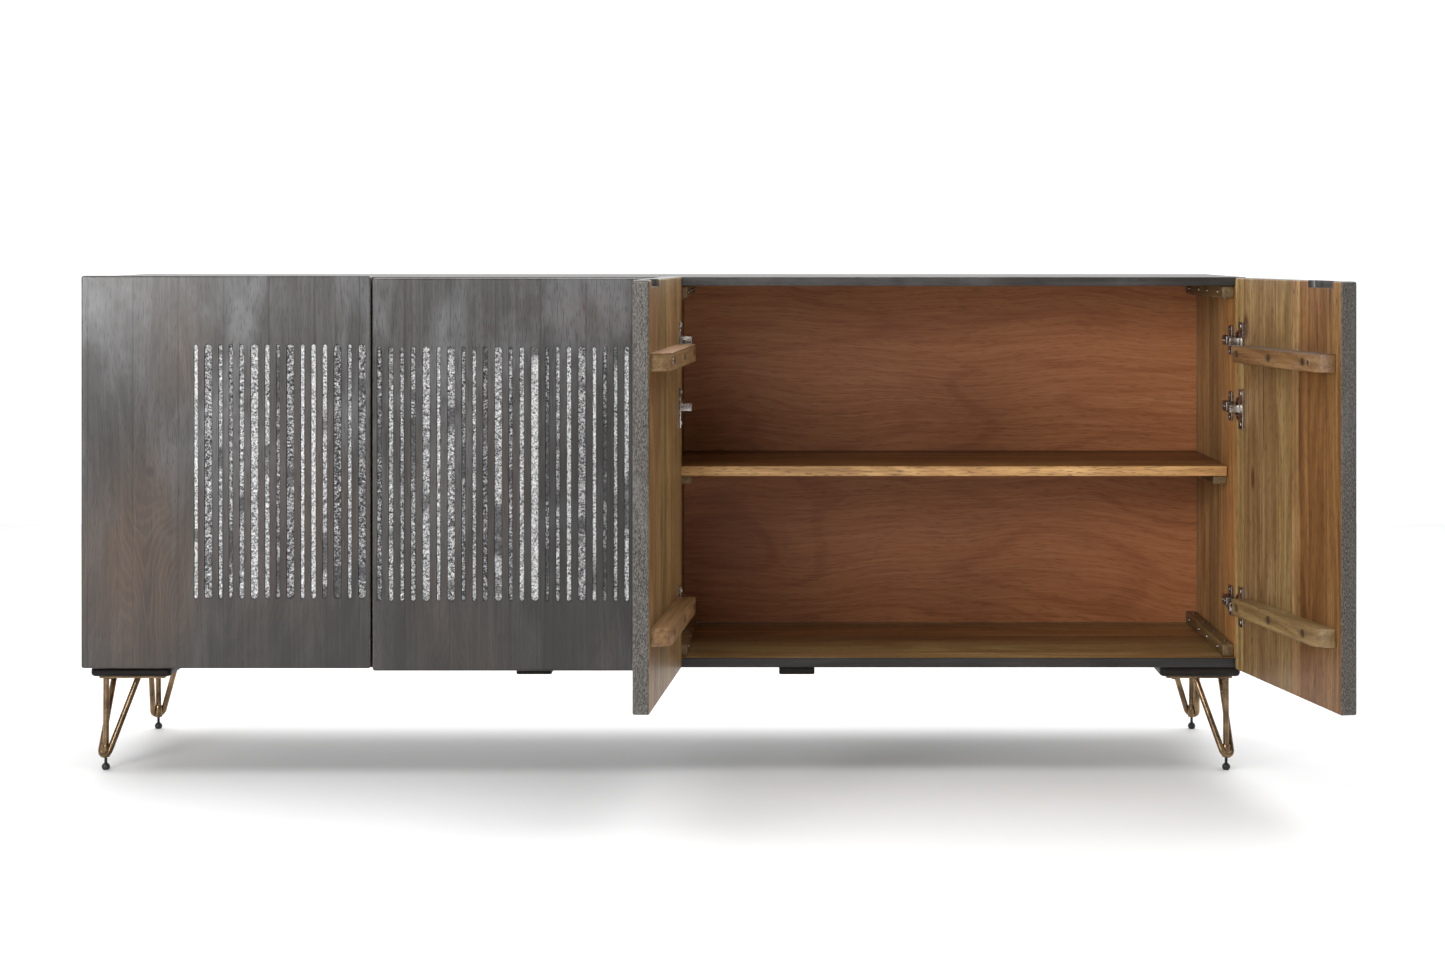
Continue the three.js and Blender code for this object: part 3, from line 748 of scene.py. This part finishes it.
# Painted light: bright lumps and facets are painted highlights and dark cracks are painted shade;
# each strip's luck adds its own tone.
painted_light_and_tone = lumps * 0.95 + facet_glint * 0.16 + luck * 0.16 - 0.19
silver_colour = silver.ramp(
    painted_light_and_tone,
    (0.34, (0.035, 0.035, 0.037)),
    (0.43, (0.20, 0.20, 0.205)),
    (0.53, (0.56, 0.56, 0.565)),
    (0.66, (0.97, 0.97, 0.96)),
)
silver_colour = silver.mix(worn * 0.82, silver_colour, (0.075, 0.075, 0.077))
silver.set(
    Base_Color=silver_colour,
    Roughness=lumps * 0.3 + 0.22,
    Normal=silver.bump(lumps, 0.0025),
)
print("silver finished")

# %% [markdown]
# ## Strips in their slots
# The slots repeat a pattern of three widths across each door. A bump alone would look flat at a
# strip's edges, so each strip is a fine grid with rounded ends, its points are pushed in and out
# by noise, and solidify gives it a thickness.

# %% Lay the strips in the slots
SLOT_TOP = 107 * MM
SLOT_LENGTH = 399 * MM
SLOT_MARGIN = 7 * MM
PLAIN_FIELD = 172 * MM
SLOT_WIDTHS = {"N": 6.5 * MM, "M": 8 * MM, "W": 12.4 * MM}
OUTER_SLOTS = ("WNWMMNWNMWMNNWN", 9.75 * MM)
INNER_SLOTS = ("MMNMWNWNNMWNMWNNMWNNNMMN", 10.1 * MM)
STRIP_RECESS = 1.3 * MM
STRIP_THICKNESS = 1.6 * MM
STRIP_CLEARANCE = 0.75 * MM
STRIP_STEP = 1.7 * MM
LUMP_HEIGHT = 0.85 * MM
LUMP_SCALE = 240.0


def slots_of(door):
    """The distance of each slot's middle from the hinge edge, and its width."""
    pattern, land = OUTER_SLOTS if door.outer else INNER_SLOTS
    band_end = PLAIN_FIELD if door.outer else SLOT_MARGIN
    reach = door_width - SLOT_MARGIN
    found = []
    while reach - SLOT_WIDTHS[pattern[len(found) % len(pattern)]] >= band_end:
        width = SLOT_WIDTHS[pattern[len(found) % len(pattern)]]
        found.append((reach - width / 2, width))
        reach -= width + land
    return found


def add_strip(bm, door, along, width):
    """A crinkled strip: its edges wander, and it carries its own luck for the finish."""
    half = width / 2 - STRIP_CLEARANCE
    length = SLOT_LENGTH - 2 * STRIP_CLEARANCE
    rows = round(length / STRIP_STEP)
    columns = max(4, round(2 * half / STRIP_STEP))
    grid = bmesh.ops.create_grid(bm, x_segments=columns, y_segments=rows, size=0.5)
    bmesh.ops.scale(bm, vec=(2 * half, length, 1), verts=grid["verts"])
    for vert in grid["verts"]:
        into_end = abs(vert.co.y) - (length / 2 - half)
        if into_end > 0:
            vert.co.x *= math.sqrt(max(0.02, 1 - (into_end / half) ** 2))
    upright = Matrix.Rotation(math.pi / 2, 4, "X")
    bmesh.ops.transform(bm, matrix=upright, verts=grid["verts"])
    height = door.high - door.low - SLOT_TOP - SLOT_LENGTH / 2
    centre = door.shut(along, STRIP_RECESS - DOOR_THICKNESS, height)
    bmesh.ops.translate(bm, vec=centre, verts=grid["verts"])
    luck_layer = bm.verts.layers.float["luck"]
    strip_luck = 0.5 + 0.5 * noise.cell(Vector((along * 977.0, door.edge * 31.0, 0.5)))
    for vert in grid["verts"]:
        lump = noise.noise(vert.co * LUMP_SCALE) + 0.5 * noise.noise(vert.co * LUMP_SCALE * 2.3)
        vert.co.y += LUMP_HEIGHT * lump
        crumble = 1 + 0.10 * noise.noise(vert.co * 170.0)
        vert.co.x = centre.x + (vert.co.x - centre.x) * min(1.0, crumble)
        vert[luck_layer] = strip_luck
    faces = list({f for v in grid["verts"] for f in v.link_faces})
    bmesh.ops.solidify(bm, geom=faces, thickness=STRIP_THICKNESS)


for door in doors:
    bm = bmesh.new()
    bm.verts.layers.float.new("luck")
    for along, width in slots_of(door):
        add_strip(bm, door, along, width)
    bmesh.ops.recalc_face_normals(bm, faces=bm.faces)
    bmesh.ops.transform(bm, matrix=door.rest, verts=bm.verts)
    inlay = add_piece(bm, f"{door.body}_inlay", silver.material, door.body)
    print(inlay.name, len(slots_of(door)), "strips,", len(inlay.data.polygons), "faces")

# %% [markdown]
# ## Metal and plastic finishes
# The rods are steel with a brown lacquer rubbed through to bronze, the hinges are nickel plated,
# and the glides are black moulded plastic.

# %% Finish the metal and plastic
bronze = Finish("rubbed_bronze", Metallic=1.0, Coat_Weight=0.15, Coat_Roughness=0.3)
bronze_point = bronze.point()
rub = bronze.cloud(bronze_point, 26.0, 2.0, 0.5)
grime = bronze.cloud(bronze_point, 240.0, 2.0, 0.6)
bronze.set(
    Base_Color=bronze.ramp(
        rub * 0.8 + grime * 0.2,
        (0.32, (0.075, 0.046, 0.023)),
        (0.50, (0.185, 0.118, 0.060)),
        (0.68, (0.330, 0.220, 0.120)),
    ),
    Roughness=grime * 0.18 + 0.20,
    Normal=bronze.bump(grime, 0.0002),
)


def filmed_metal(name, dark, pale, film_scale, film_dulls, gloss, grit_scale):
    """A metal whose tone and gloss follow one thin uneven film."""
    finish = Finish(name, Metallic=1.0)
    point = finish.point()
    film = finish.cloud(point, film_scale, 3.0, 0.6)
    finish.set(
        Base_Color=finish.ramp(film, (0.3, dark), (0.7, pale)),
        Roughness=film * film_dulls + gloss,
        Normal=finish.bump(finish.cloud(point, grit_scale, 1.0), 0.0001),
    )
    return finish


nickel = filmed_metal(
    "nickel_plate", (0.30, 0.275, 0.25), (0.62, 0.585, 0.55), 90.0, 0.22, 0.16, 700.0
)
dull_steel = filmed_metal(
    "dull_steel", (0.115, 0.105, 0.095), (0.270, 0.250, 0.230), 110.0, 0.2, 0.28, 600.0
)

moulded = Finish("black_moulding", IOR=1.5)
moulded_point = moulded.point()
pebble = moulded.cloud(moulded_point, 900.0, 2.0, 0.5)
moulded.set(
    Base_Color=moulded.ramp(pebble, (0.3, (0.008, 0.008, 0.008)), (0.7, (0.022, 0.021, 0.020))),
    Roughness=pebble * 0.2 + 0.35,
    Normal=moulded.bump(pebble, 0.0002),
)

block_stain = Finish("leg_block_stain", Coat_Weight=0.0, Specular_IOR_Level=0.15)
block_point = block_stain.point()
block_grain = Grain(block_stain, block_point, X, Y, 70 * MM, 6.6)
dark_stain = stained_colour(block_stain, block_point, block_grain, 6.6)
block_stain.set(
    Base_Color=block_stain.mix(1.0, dark_stain, (0.42, 0.40, 0.38), "MULTIPLY"),
    Roughness=block_grain.streaks * 0.15 + 0.4,
    Normal=block_stain.bump(block_grain.height, 0.0004),
)
LEG_CORNERS = {
    "front_left": (-1, -1),
    "front_right": (1, -1),
    "rear_left": (-1, 1),
    "rear_right": (1, 1),
}
for corner in LEG_CORNERS:
    dress(f"leg_block_{corner}", block_stain.material)

floor_paint = Finish("pale_floor", Roughness=0.6)
floor_dust = floor_paint.cloud(floor_paint.point(), 3.0, 3.0)
floor_paint.set(
    Base_Color=floor_paint.ramp(floor_dust, (0.3, (0.90, 0.90, 0.90)), (0.7, (0.93, 0.93, 0.93)))
)
floor_mesh.materials.append(floor_paint.material)
print("metal, plastic and floor finished")

# %% [markdown]
# ## Shapes used again and again
# Boxes with rounded edges, discs and screws turn up in the hinges, the legs and the cleats.


# %% Make small hardware shapes
SCREW_SIDES = 24
# Shares of a screw's radius, and the recess's depth as a share of the head's height.
HEAD_HEIGHT = 0.62
HEAD_TOP = 0.72
RECESS_INSET = 0.28
RECESS_WALL = 0.02
RECESS_WAIST = 0.42
RECESS_DEPTH = 0.55


def add_box(bm, centre, size, ease, segments=2):
    cube = bmesh.ops.create_cube(bm, size=1)["verts"]
    bmesh.ops.scale(bm, vec=size, verts=cube)
    bmesh.ops.translate(bm, vec=centre, verts=cube)
    edges = list({e for v in cube for e in v.link_edges})
    round_edges(bm, edges, ease, segments)


def add_disc(bm, centre, axis, radius, thickness, ease, sides=32):
    """A round with eased rims, its middle at centre and its axis along axis."""
    turn = Vector(axis).to_track_quat("Z", "Y").to_matrix().to_4x4()
    made = bmesh.ops.create_cone(
        bm, cap_ends=True, segments=sides, radius1=radius, radius2=radius, depth=thickness,
        matrix=Matrix.Translation(centre) @ turn,
    )["verts"]
    caps = {f for v in made for f in v.link_faces if len(f.verts) == sides}
    edges = list({e for f in caps for e in f.edges})
    round_edges(bm, edges, ease)


def add_screw(bm, seat, axis, radius):
    """A pan-head screw on a seat, with a cross recess pressed into its domed head."""
    axis = Vector(axis).normalized()
    turn = axis.to_track_quat("Z", "Y").to_matrix().to_4x4()
    place = Matrix.Translation(Vector(seat)) @ turn
    height = radius * HEAD_HEIGHT
    head = bmesh.ops.create_cone(
        bm, cap_ends=True, segments=SCREW_SIDES, radius1=radius, radius2=radius * HEAD_TOP,
        depth=height, matrix=place @ Matrix.Translation((0, 0, height / 2)),
    )["verts"]
    caps = [f for v in head for f in v.link_faces if len(f.verts) == SCREW_SIDES]
    top = max(caps, key=lambda f: (f.calc_center_median() - Vector(seat)).dot(axis))
    bmesh.ops.inset_individual(bm, faces=[top], thickness=radius * RECESS_INSET)
    centre = top.calc_center_median()
    for number, vert in enumerate(top.verts):
        if number % 6 not in (0, 1):
            vert.co = centre + (vert.co - centre) * RECESS_WAIST
    bmesh.ops.inset_individual(bm, faces=[top], thickness=radius * RECESS_WALL)
    bmesh.ops.translate(bm, vec=-axis * height * RECESS_DEPTH, verts=list(top.verts))


print("hardware shapes ready")

# %% [markdown]
# ## Concealed hinges
# A cup hinge has a cup sunk in the door, a flange that screws to the door back, a short link that
# leaves the cup, and a forked arm on a plate inside the case. The link rides with the door and
# slips between the fork's two cheeks as the door shuts.

# %% Build the hinge cups and links
HINGE_DROPS = [100 * MM, 204.5 * MM, 513 * MM]
CUP_ALONG = 22 * MM
FLANGE_ALONG = 35 * MM
FLANGE_SIZE = (19 * MM, 3.0 * MM, 62 * MM)
CUP_RADIUS = 17.5 * MM
CUP_DEPTH = 11 * MM
RIM = 1.2 * MM
LINK_REACH = 18 * MM
LINK_HEIGHT = 12.0 * MM
LINK_WIDTH = 10 * MM
SEAT = 0.4 * MM
FLANGE_SCREW_RISE = 24 * MM
FLANGE_SCREW_SINK = 1.2 * MM
FLANGE_SCREW_RADIUS = 3.6 * MM


def link_along(door):
    """The link's middle, a little further from the hinge edge than the case's face."""
    return abs(door.face - door.edge) + 2 * MM + LINK_WIDTH / 2


def add_cup(bm, door, drop):
    height = door.high - door.low - drop
    rim_centre = door.shut(CUP_ALONG, SEAT + RIM / 2, height)
    add_box(bm, door.shut(FLANGE_ALONG, SEAT + FLANGE_SIZE[1] / 2, height), FLANGE_SIZE, 0.5 * MM)
    outward = Vector((0, 1, 0))
    turn = outward.to_track_quat("Z", "Y").to_matrix().to_4x4()
    rings = (
        (CUP_RADIUS + 1.5 * MM, RIM / 2),
        (CUP_RADIUS - 1.2 * MM, RIM / 2),
        (CUP_RADIUS - 2.0 * MM, -CUP_DEPTH * 0.92),
        (CUP_RADIUS - 5.0 * MM, -CUP_DEPTH),
    )
    loops = []
    for radius, out in rings:
        circle = bmesh.ops.create_circle(
            bm, cap_ends=False, radius=radius, segments=40,
            matrix=Matrix.Translation(rim_centre + outward * out) @ turn,
        )["verts"]
        loops.append(list({e for v in circle for e in v.link_edges}))
    for first, second in zip(loops, loops[1:]):
        bmesh.ops.bridge_loops(bm, edges=first + second)
    bmesh.ops.contextual_create(bm, geom=loops[-1])
    skirt = bmesh.ops.extrude_edge_only(bm, edges=loops[0])["geom"]
    skirt_verts = [g for g in skirt if isinstance(g, bmesh.types.BMVert)]
    bmesh.ops.translate(bm, vec=-outward * RIM, verts=skirt_verts)
    for rise in (-FLANGE_SCREW_RISE, FLANGE_SCREW_RISE):
        seat = door.shut(FLANGE_ALONG + 1 * MM, SEAT + FLANGE_SIZE[1], height + rise)
        add_screw(bm, seat - outward * FLANGE_SCREW_SINK, outward, FLANGE_SCREW_RADIUS)
    start = SEAT + RIM - CUP_DEPTH * 0.7
    centre = door.shut(link_along(door), (start + LINK_REACH) / 2, height)
    add_box(bm, centre, (LINK_WIDTH, LINK_REACH - start, LINK_HEIGHT), 0.9 * MM, 3)


for door in doors:
    for number, drop in enumerate(HINGE_DROPS, 1):
        bm = bmesh.new()
        add_cup(bm, door, drop)
        bmesh.ops.transform(bm, matrix=door.rest, verts=bm.verts)
        cup = add_piece(
            bm, f"{door.body}_cup_{number}", nickel.material, door.body
        )
        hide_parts(f"{door.body}_hinge_cup_{number}")
print("hinge cups built")

# %% [markdown]
# ## Hinge arms
# An arm stands on a plate that is screwed to the inside of the case, and stays with the case. Its
# front end is a fork of two thin cheeks, one above and one below, so that the link fits between.

# %% Build the hinge arms
ARM_TAIL = 62 * MM
FORK_ROOT = 24 * MM
ARM_HEIGHT = 16 * MM
CHEEK = 1.6 * MM
CHEEK_START = 4 * MM
FORK_LAP = 2 * MM
ARM_THICKNESS = 9 * MM
ARM_MIDDLE = 7.6 * MM
ARM_FACE = 11.4 * MM
ARM_SCREWS_BACK = (34 * MM, 52 * MM)
ARM_SCREW_RADIUS = 2.8 * MM
PLATE_SIZE = (3 * MM, 30 * MM, 46 * MM)
PLATE_GAP = 0.3 * MM
PLATE_BACK = 40 * MM
PLATE_SCREW_SEAT = 2.4 * MM
PLATE_SCREW_RISE = 17.5 * MM
PLATE_SCREW_RADIUS = 3.4 * MM


def add_arm(bm, door, drop):
    """A forked arm: y is measured back from the case's front edge, x from the case's face."""
    into = door.hand
    height = door.high - drop
    across = abs(link_along(door) - abs(door.face - door.edge))

    def place(off, back, up):
        return Vector((door.face + into * off, front_y + back, height + up))

    add_box(bm, place(PLATE_GAP + PLATE_SIZE[0] / 2, PLATE_BACK, 0), PLATE_SIZE, 0.6 * MM)
    body_length = ARM_TAIL - FORK_ROOT
    body_middle = FORK_ROOT + body_length / 2
    body_size = (ARM_THICKNESS, body_length, ARM_HEIGHT)
    add_box(bm, place(ARM_MIDDLE, body_middle, 0), body_size, 1.8 * MM, 3)
    cheek_end = FORK_ROOT + FORK_LAP
    cheek_middle = (CHEEK_START + cheek_end) / 2
    cheek_size = (LINK_WIDTH, cheek_end - CHEEK_START, CHEEK)
    for up in (-1, 1):
        rise = up * (ARM_HEIGHT / 2 - CHEEK / 2)
        add_box(bm, place(across, cheek_middle, rise), cheek_size, 0.5 * MM)
        seat = place(PLATE_SCREW_SEAT, PLATE_BACK, up * PLATE_SCREW_RISE)
        add_screw(bm, seat, (into, 0, 0), PLATE_SCREW_RADIUS)
    for back in ARM_SCREWS_BACK:
        add_screw(bm, place(ARM_FACE, back, 0), (into, 0, 0), ARM_SCREW_RADIUS)


for door in doors:
    for number, drop in enumerate(HINGE_DROPS, 1):
        bm = bmesh.new()
        add_arm(bm, door, drop)
        arm = add_piece(bm, f"{door.body}_arm_{number}", dull_steel.material, "root")
        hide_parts(f"{door.body}_hinge_arm_{number}")
print("hinge arms built")

# %% [markdown]
# ## Legs
# Each leg is a steel plate with one rod bent into a hairpin, one straight rod, and a threaded
# socket where they meet above the foot. A curve with a round bevel makes a bent rod exactly, and
# the bend is the arc that both straight runs touch.

# %% Bend the rods
ROD_RADIUS = 4.75 * MM
BEND_RADIUS = 10 * MM
PLATE_THICKNESS = 4 * MM
ROD_INSET = 8.5 * MM
ROD_SPREAD = 65 * MM
ROD_REACH = 46 * MM
LEG_END = 18 * MM
SOCKET_RADIUS = 6.5 * MM
SOCKET_LENGTH = 20 * MM
SOCKET_LIFT = 2 * MM
ARC_STEPS = 20
STRAIGHT_SET = 3 * MM
# A weld bead's radius and height as shares of the rod's radius and of its own radius.
BEAD_SIZE = 1.35
BEAD_FLAT = 0.42
BEAD_RIPPLE = 0.22
LEG_SCREW_INSET = 14 * MM
LEG_SCREW_RADIUS = 5.0 * MM
LEG_SCREW_SHARES = ((-1, -1), (-1, 1), (1, -1), (0.25, 0.25))


def hairpin_points(top_a, top_b, centre):
    """Straight down, round the arc that both runs touch, and straight up."""
    across = (top_b - top_a).normalized()
    up = top_a - centre
    up = (up - across * up.dot(across)).normalized()

    def touch(point, sign):
        away = point - centre
        angle = math.atan2(away.dot(up), away.dot(across))
        return angle + sign * math.acos(BEND_RADIUS / away.length)

    first = touch(top_a, 1)
    last = touch(top_b, -1) + 2 * math.pi
    arc = []
    for i in range(ARC_STEPS + 1):
        angle = first + (last - first) * i / ARC_STEPS
        arc.append(centre + BEND_RADIUS * (across * math.cos(angle) + up * math.sin(angle)))
    return [top_a, *arc, top_b]


def add_rod(bm, points, radius, sides=8):
    """A round rod along points: a bevelled curve, turned into a mesh and joined in."""
    data = bpy.data.curves.new("rod", "CURVE")
    data.dimensions = "3D"
    data.bevel_depth = radius
    data.bevel_resolution = sides
    data.use_fill_caps = True
    spline = data.splines.new("POLY")
    spline.points.add(len(points) - 1)
    for spline_point, point in zip(spline.points, points):
        spline_point.co = (*point, 1)
    curve = bpy.data.objects.new("rod", data)
    mesh = bpy.data.meshes.new_from_object(curve)
    bm.from_mesh(mesh)
    bpy.data.objects.remove(curve)
    bpy.data.curves.remove(data)
    bpy.data.meshes.remove(mesh)


def add_leg(corner, out_x, out_y):
    plate_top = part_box(f"hairpin_leg_{corner}")[1].z
    foot_low, foot_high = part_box(f"levelling_foot_{corner}")
    foot = (foot_low + foot_high) / 2
    half = (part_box(f"leg_block_{corner}")[1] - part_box(f"leg_block_{corner}")[0]) / 2
    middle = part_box(f"leg_block_{corner}")[0] + half
    plate_half = abs(foot.x - middle.x) + ROD_INSET

    def place(back_x, back_y, z):
        """A point measured inwards from the foot's upright."""
        return Vector((foot.x - out_x * back_x, foot.y - out_y * back_y, z))

    bm = bmesh.new()
    plate_centre = Vector((middle.x, middle.y, plate_top - PLATE_THICKNESS / 2))
    plate_size = (2 * plate_half, 2 * plate_half, PLATE_THICKNESS)
    add_box(bm, plate_centre, plate_size, 1.2 * MM, 3)
    rod_top = plate_top - PLATE_THICKNESS * 0.7
    bend_centre = place(0, 0, floor_z + LEG_END + ROD_RADIUS + BEND_RADIUS)
    outer_top = place(0, ROD_SPREAD, rod_top)
    inner_rod_top = place(ROD_REACH, ROD_SPREAD / 2, rod_top)
    straight_top = place(0, STRAIGHT_SET, rod_top)
    add_rod(bm, hairpin_points(outer_top, inner_rod_top, bend_centre), ROD_RADIUS)
    add_rod(bm, [straight_top, place(0, 0, floor_z + LEG_END + ROD_RADIUS)], ROD_RADIUS)
    socket_middle = place(0, 0, floor_z + LEG_END + SOCKET_LIFT + SOCKET_LENGTH / 2)
    add_disc(bm, socket_middle, (0, 0, 1), SOCKET_RADIUS, SOCKET_LENGTH, 1.2 * MM)
    bead_z = plate_top - PLATE_THICKNESS
    for top in (outer_top, inner_rod_top, straight_top):
        bead = bmesh.ops.create_uvsphere(
            bm, u_segments=24, v_segments=12, radius=ROD_RADIUS * BEAD_SIZE
        )
        bmesh.ops.scale(bm, vec=(1, 1, BEAD_FLAT), verts=bead["verts"])
        bmesh.ops.translate(bm, vec=(top.x, top.y, bead_z), verts=bead["verts"])
        for vert in bead["verts"]:
            ripple = noise.noise(vert.co * 520.0)
            vert.co += Vector((vert.co.x - top.x, vert.co.y - top.y, 0)) * ripple * BEAD_RIPPLE
    leg = add_piece(bm, f"leg_{corner}", bronze.material, "root")
    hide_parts(f"hairpin_leg_{corner}")
    screws = bmesh.new()
    offset = plate_half - LEG_SCREW_INSET
    for share_x, share_y in LEG_SCREW_SHARES:
        seat_x = middle.x - out_x * share_x * offset
        seat_y = middle.y - out_y * share_y * offset
        add_screw(screws, (seat_x, seat_y, bead_z), (0, 0, -1), LEG_SCREW_RADIUS)
    add_piece(screws, f"leg_screws_{corner}", bronze.material, "root")


for corner, (out_x, out_y) in LEG_CORNERS.items():
    add_leg(corner, out_x, out_y)
print("four legs built")

# %% [markdown]
# ## Levelling feet
# A glide is turned: a ball with a flat base, and a threaded stem that goes up into its socket.
# Spinning a profile about its axis makes the round parts, and rings along the stem are its thread.

# %% Turn the feet
STEM_RADIUS = 2.45 * MM
THREAD_PITCH = 1.25 * MM
BALL_HEIGHT = 10.5 * MM
BALL_START = -50
BALL_SWEEP = 118
BALL_RISE = 1.71
BALL_POINTS = 10
FOOT_CLEARANCE = 0.05 * MM


def add_foot(corner):
    low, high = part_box(f"levelling_foot_{corner}")
    centre = (low + high) / 2
    radius = (high.x - low.x) / 2 - FOOT_CLEARANCE
    outline = [(0.0, 0.0), (radius * 0.62, 0.0)]
    for i in range(1, BALL_POINTS):
        angle = math.radians(BALL_START + BALL_SWEEP * i / BALL_POINTS)
        rise = (math.sin(angle) - math.sin(math.radians(BALL_START))) / BALL_RISE
        outline.append((radius * math.cos(angle), BALL_HEIGHT * rise))
    outline.append((STEM_RADIUS * 1.15, BALL_HEIGHT))
    top = high.z - low.z
    z = BALL_HEIGHT + 0.4 * MM
    while z + THREAD_PITCH < top - 0.5 * MM:
        outline.append((STEM_RADIUS * 0.86, z))
        outline.append((STEM_RADIUS, z + THREAD_PITCH / 2))
        z += THREAD_PITCH
    outline.append((STEM_RADIUS * 0.8, top - 0.2 * MM))
    outline.append((0.0, top - 0.2 * MM))
    bm = bmesh.new()
    verts = [bm.verts.new((centre.x + r, centre.y, low.z + z_)) for r, z_ in outline]
    edges = [bm.edges.new(pair) for pair in zip(verts, verts[1:])]
    bmesh.ops.spin(
        bm, geom=verts + edges, cent=(centre.x, centre.y, 0), axis=(0, 0, 1),
        angle=2 * math.pi, steps=40, use_merge=True, use_duplicate=False,
    )
    bmesh.ops.remove_doubles(bm, verts=bm.verts, dist=MERGE)
    bmesh.ops.recalc_face_normals(bm, faces=bm.faces)
    foot = add_piece(bm, f"glide_{corner}", moulded.material, f"foot_{corner}")
    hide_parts(f"levelling_foot_{corner}")


for corner in LEG_CORNERS:
    add_foot(corner)
print("four glides turned")

# %% [markdown]
# ## Corner cleats
# Square strips glued and screwed into the corners hold the panels together. They run front to
# back where the sides and the partition meet the floor and the top, with screws on both faces.

# %% Fit the corner cleats
CLEAT = 19 * MM
CLEAT_FRONT = 14 * MM
CLEAT_GAP = 0.3 * MM
CLEAT_SCREW_SHARES = (0.08, 0.36, 0.64, 0.92)
CLEAT_SCREW_RADIUS = 3.6 * MM
SCREW_STAGGER = 14 * MM
back_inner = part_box("back_panel")[0].y


def add_corner_cleat(name, wall, into, base, up):
    length = back_inner - front_y - CLEAT_FRONT - 2 * CLEAT_GAP
    centre = Vector((
        wall + into * (CLEAT_GAP + CLEAT / 2),
        front_y + CLEAT_FRONT + length / 2,
        base + up * (CLEAT_GAP + CLEAT / 2),
    ))
    bm = bmesh.new()
    add_box(bm, centre, (CLEAT, length, CLEAT), 2.2 * MM, 3)
    add_piece(bm, name, cleat_wood, "root")
    screws = bmesh.new()
    for share in CLEAT_SCREW_SHARES:
        y = front_y + CLEAT_FRONT + length * share
        seat = (centre.x, y, centre.z + up * CLEAT / 2)
        add_screw(screws, seat, (0, 0, up), CLEAT_SCREW_RADIUS)
        stagger = SCREW_STAGGER if share < 0.5 else -SCREW_STAGGER
        side_seat = (centre.x + into * CLEAT / 2, y + stagger, centre.z)
        add_screw(screws, side_seat, (into, 0, 0), CLEAT_SCREW_RADIUS)
    add_piece(screws, f"{name}_screws", dull_steel.material, "root")


corners = [
    ("left_outer", inner_left, 1),
    ("left_inner", partition[0].x, -1),
    ("right_inner", partition[1].x, 1),
    ("right_outer", inner_right, -1),
]
for name, wall, into in corners:
    add_corner_cleat(f"floor_cleat_{name}", wall, into, inner_floor, 1)
    add_corner_cleat(f"top_cleat_{name}", wall, into, inner_top, -1)
print("eight corner cleats fitted")

# %% [markdown]
# ## Under the case
# Two battens across the underside stiffen the floor, and just show below the doors.

# %% Fit the underside battens
UNDER_BATTEN_OUT = 207 * MM
UNDER_BATTEN_SIZE = (56 * MM, 423 * MM, 11 * MM)
UNDER_BATTEN_FRONT = 2 * MM
UNDER_BATTEN_GAP = 0.3 * MM
UNDER_SCREW_SHARES = (-0.42, 0.0, 0.42)
UNDER_SCREW_RADIUS = 4.4 * MM
for name, sign in (("left", -1), ("right", 1)):
    bm = bmesh.new()
    centre = Vector((
        middle_x + sign * UNDER_BATTEN_OUT,
        front_y + UNDER_BATTEN_FRONT + UNDER_BATTEN_SIZE[1] / 2,
        case_low.z - UNDER_BATTEN_GAP - UNDER_BATTEN_SIZE[2] / 2,
    ))
    add_box(bm, centre, UNDER_BATTEN_SIZE, 2.5 * MM, 3)
    add_piece(bm, f"underside_batten_{name}", block_stain.material, "root")
    screws = bmesh.new()
    for share in UNDER_SCREW_SHARES:
        seat = centre + Vector((0, UNDER_BATTEN_SIZE[1] * share, -UNDER_BATTEN_SIZE[2] / 2))
        add_screw(screws, seat, (0, 0, -1), UNDER_SCREW_RADIUS)
    add_piece(screws, f"underside_screws_{name}", nickel.material, "root")
print("underside battens fitted")

# %% [markdown]
# ## Batten screws
# Each door batten is screwed through counterbored holes, so its screws sit deep in the wood. A
# small steel disc near the upper batten's free end may be what a catch in the case holds.

# %% Drive the batten screws
BATTEN_SCREW_RADIUS = 4.6 * MM
DISC_PAST_HOLE = 26 * MM
DISC_MIDDLE = 28.4 * MM
DISC_RADIUS = 4.5 * MM
DISC_THICKNESS = 1.2 * MM
DISC_EASE = 0.3 * MM
for door in doors:
    bm = bmesh.new()
    for along, height in batten_holes(door):
        seat = door.shut(along * MM, HOLE_FLOOR, height * MM)
        add_screw(bm, seat, (0, 1, 0), BATTEN_SCREW_RADIUS)
    along = door_width - BATTEN_END_MARGIN - HOLE_LAST + DISC_PAST_HOLE
    upper = door.high - door.low + BATTEN_HEIGHTS[0][1]
    centre = door.shut(along, DISC_MIDDLE, upper)
    add_disc(bm, centre, (0, 1, 0), DISC_RADIUS, DISC_THICKNESS, DISC_EASE)
    bmesh.ops.transform(bm, matrix=door.rest, verts=bm.verts)
    add_piece(bm, f"{door.body}_batten_screws", nickel.material, door.body)
print("batten screws driven")
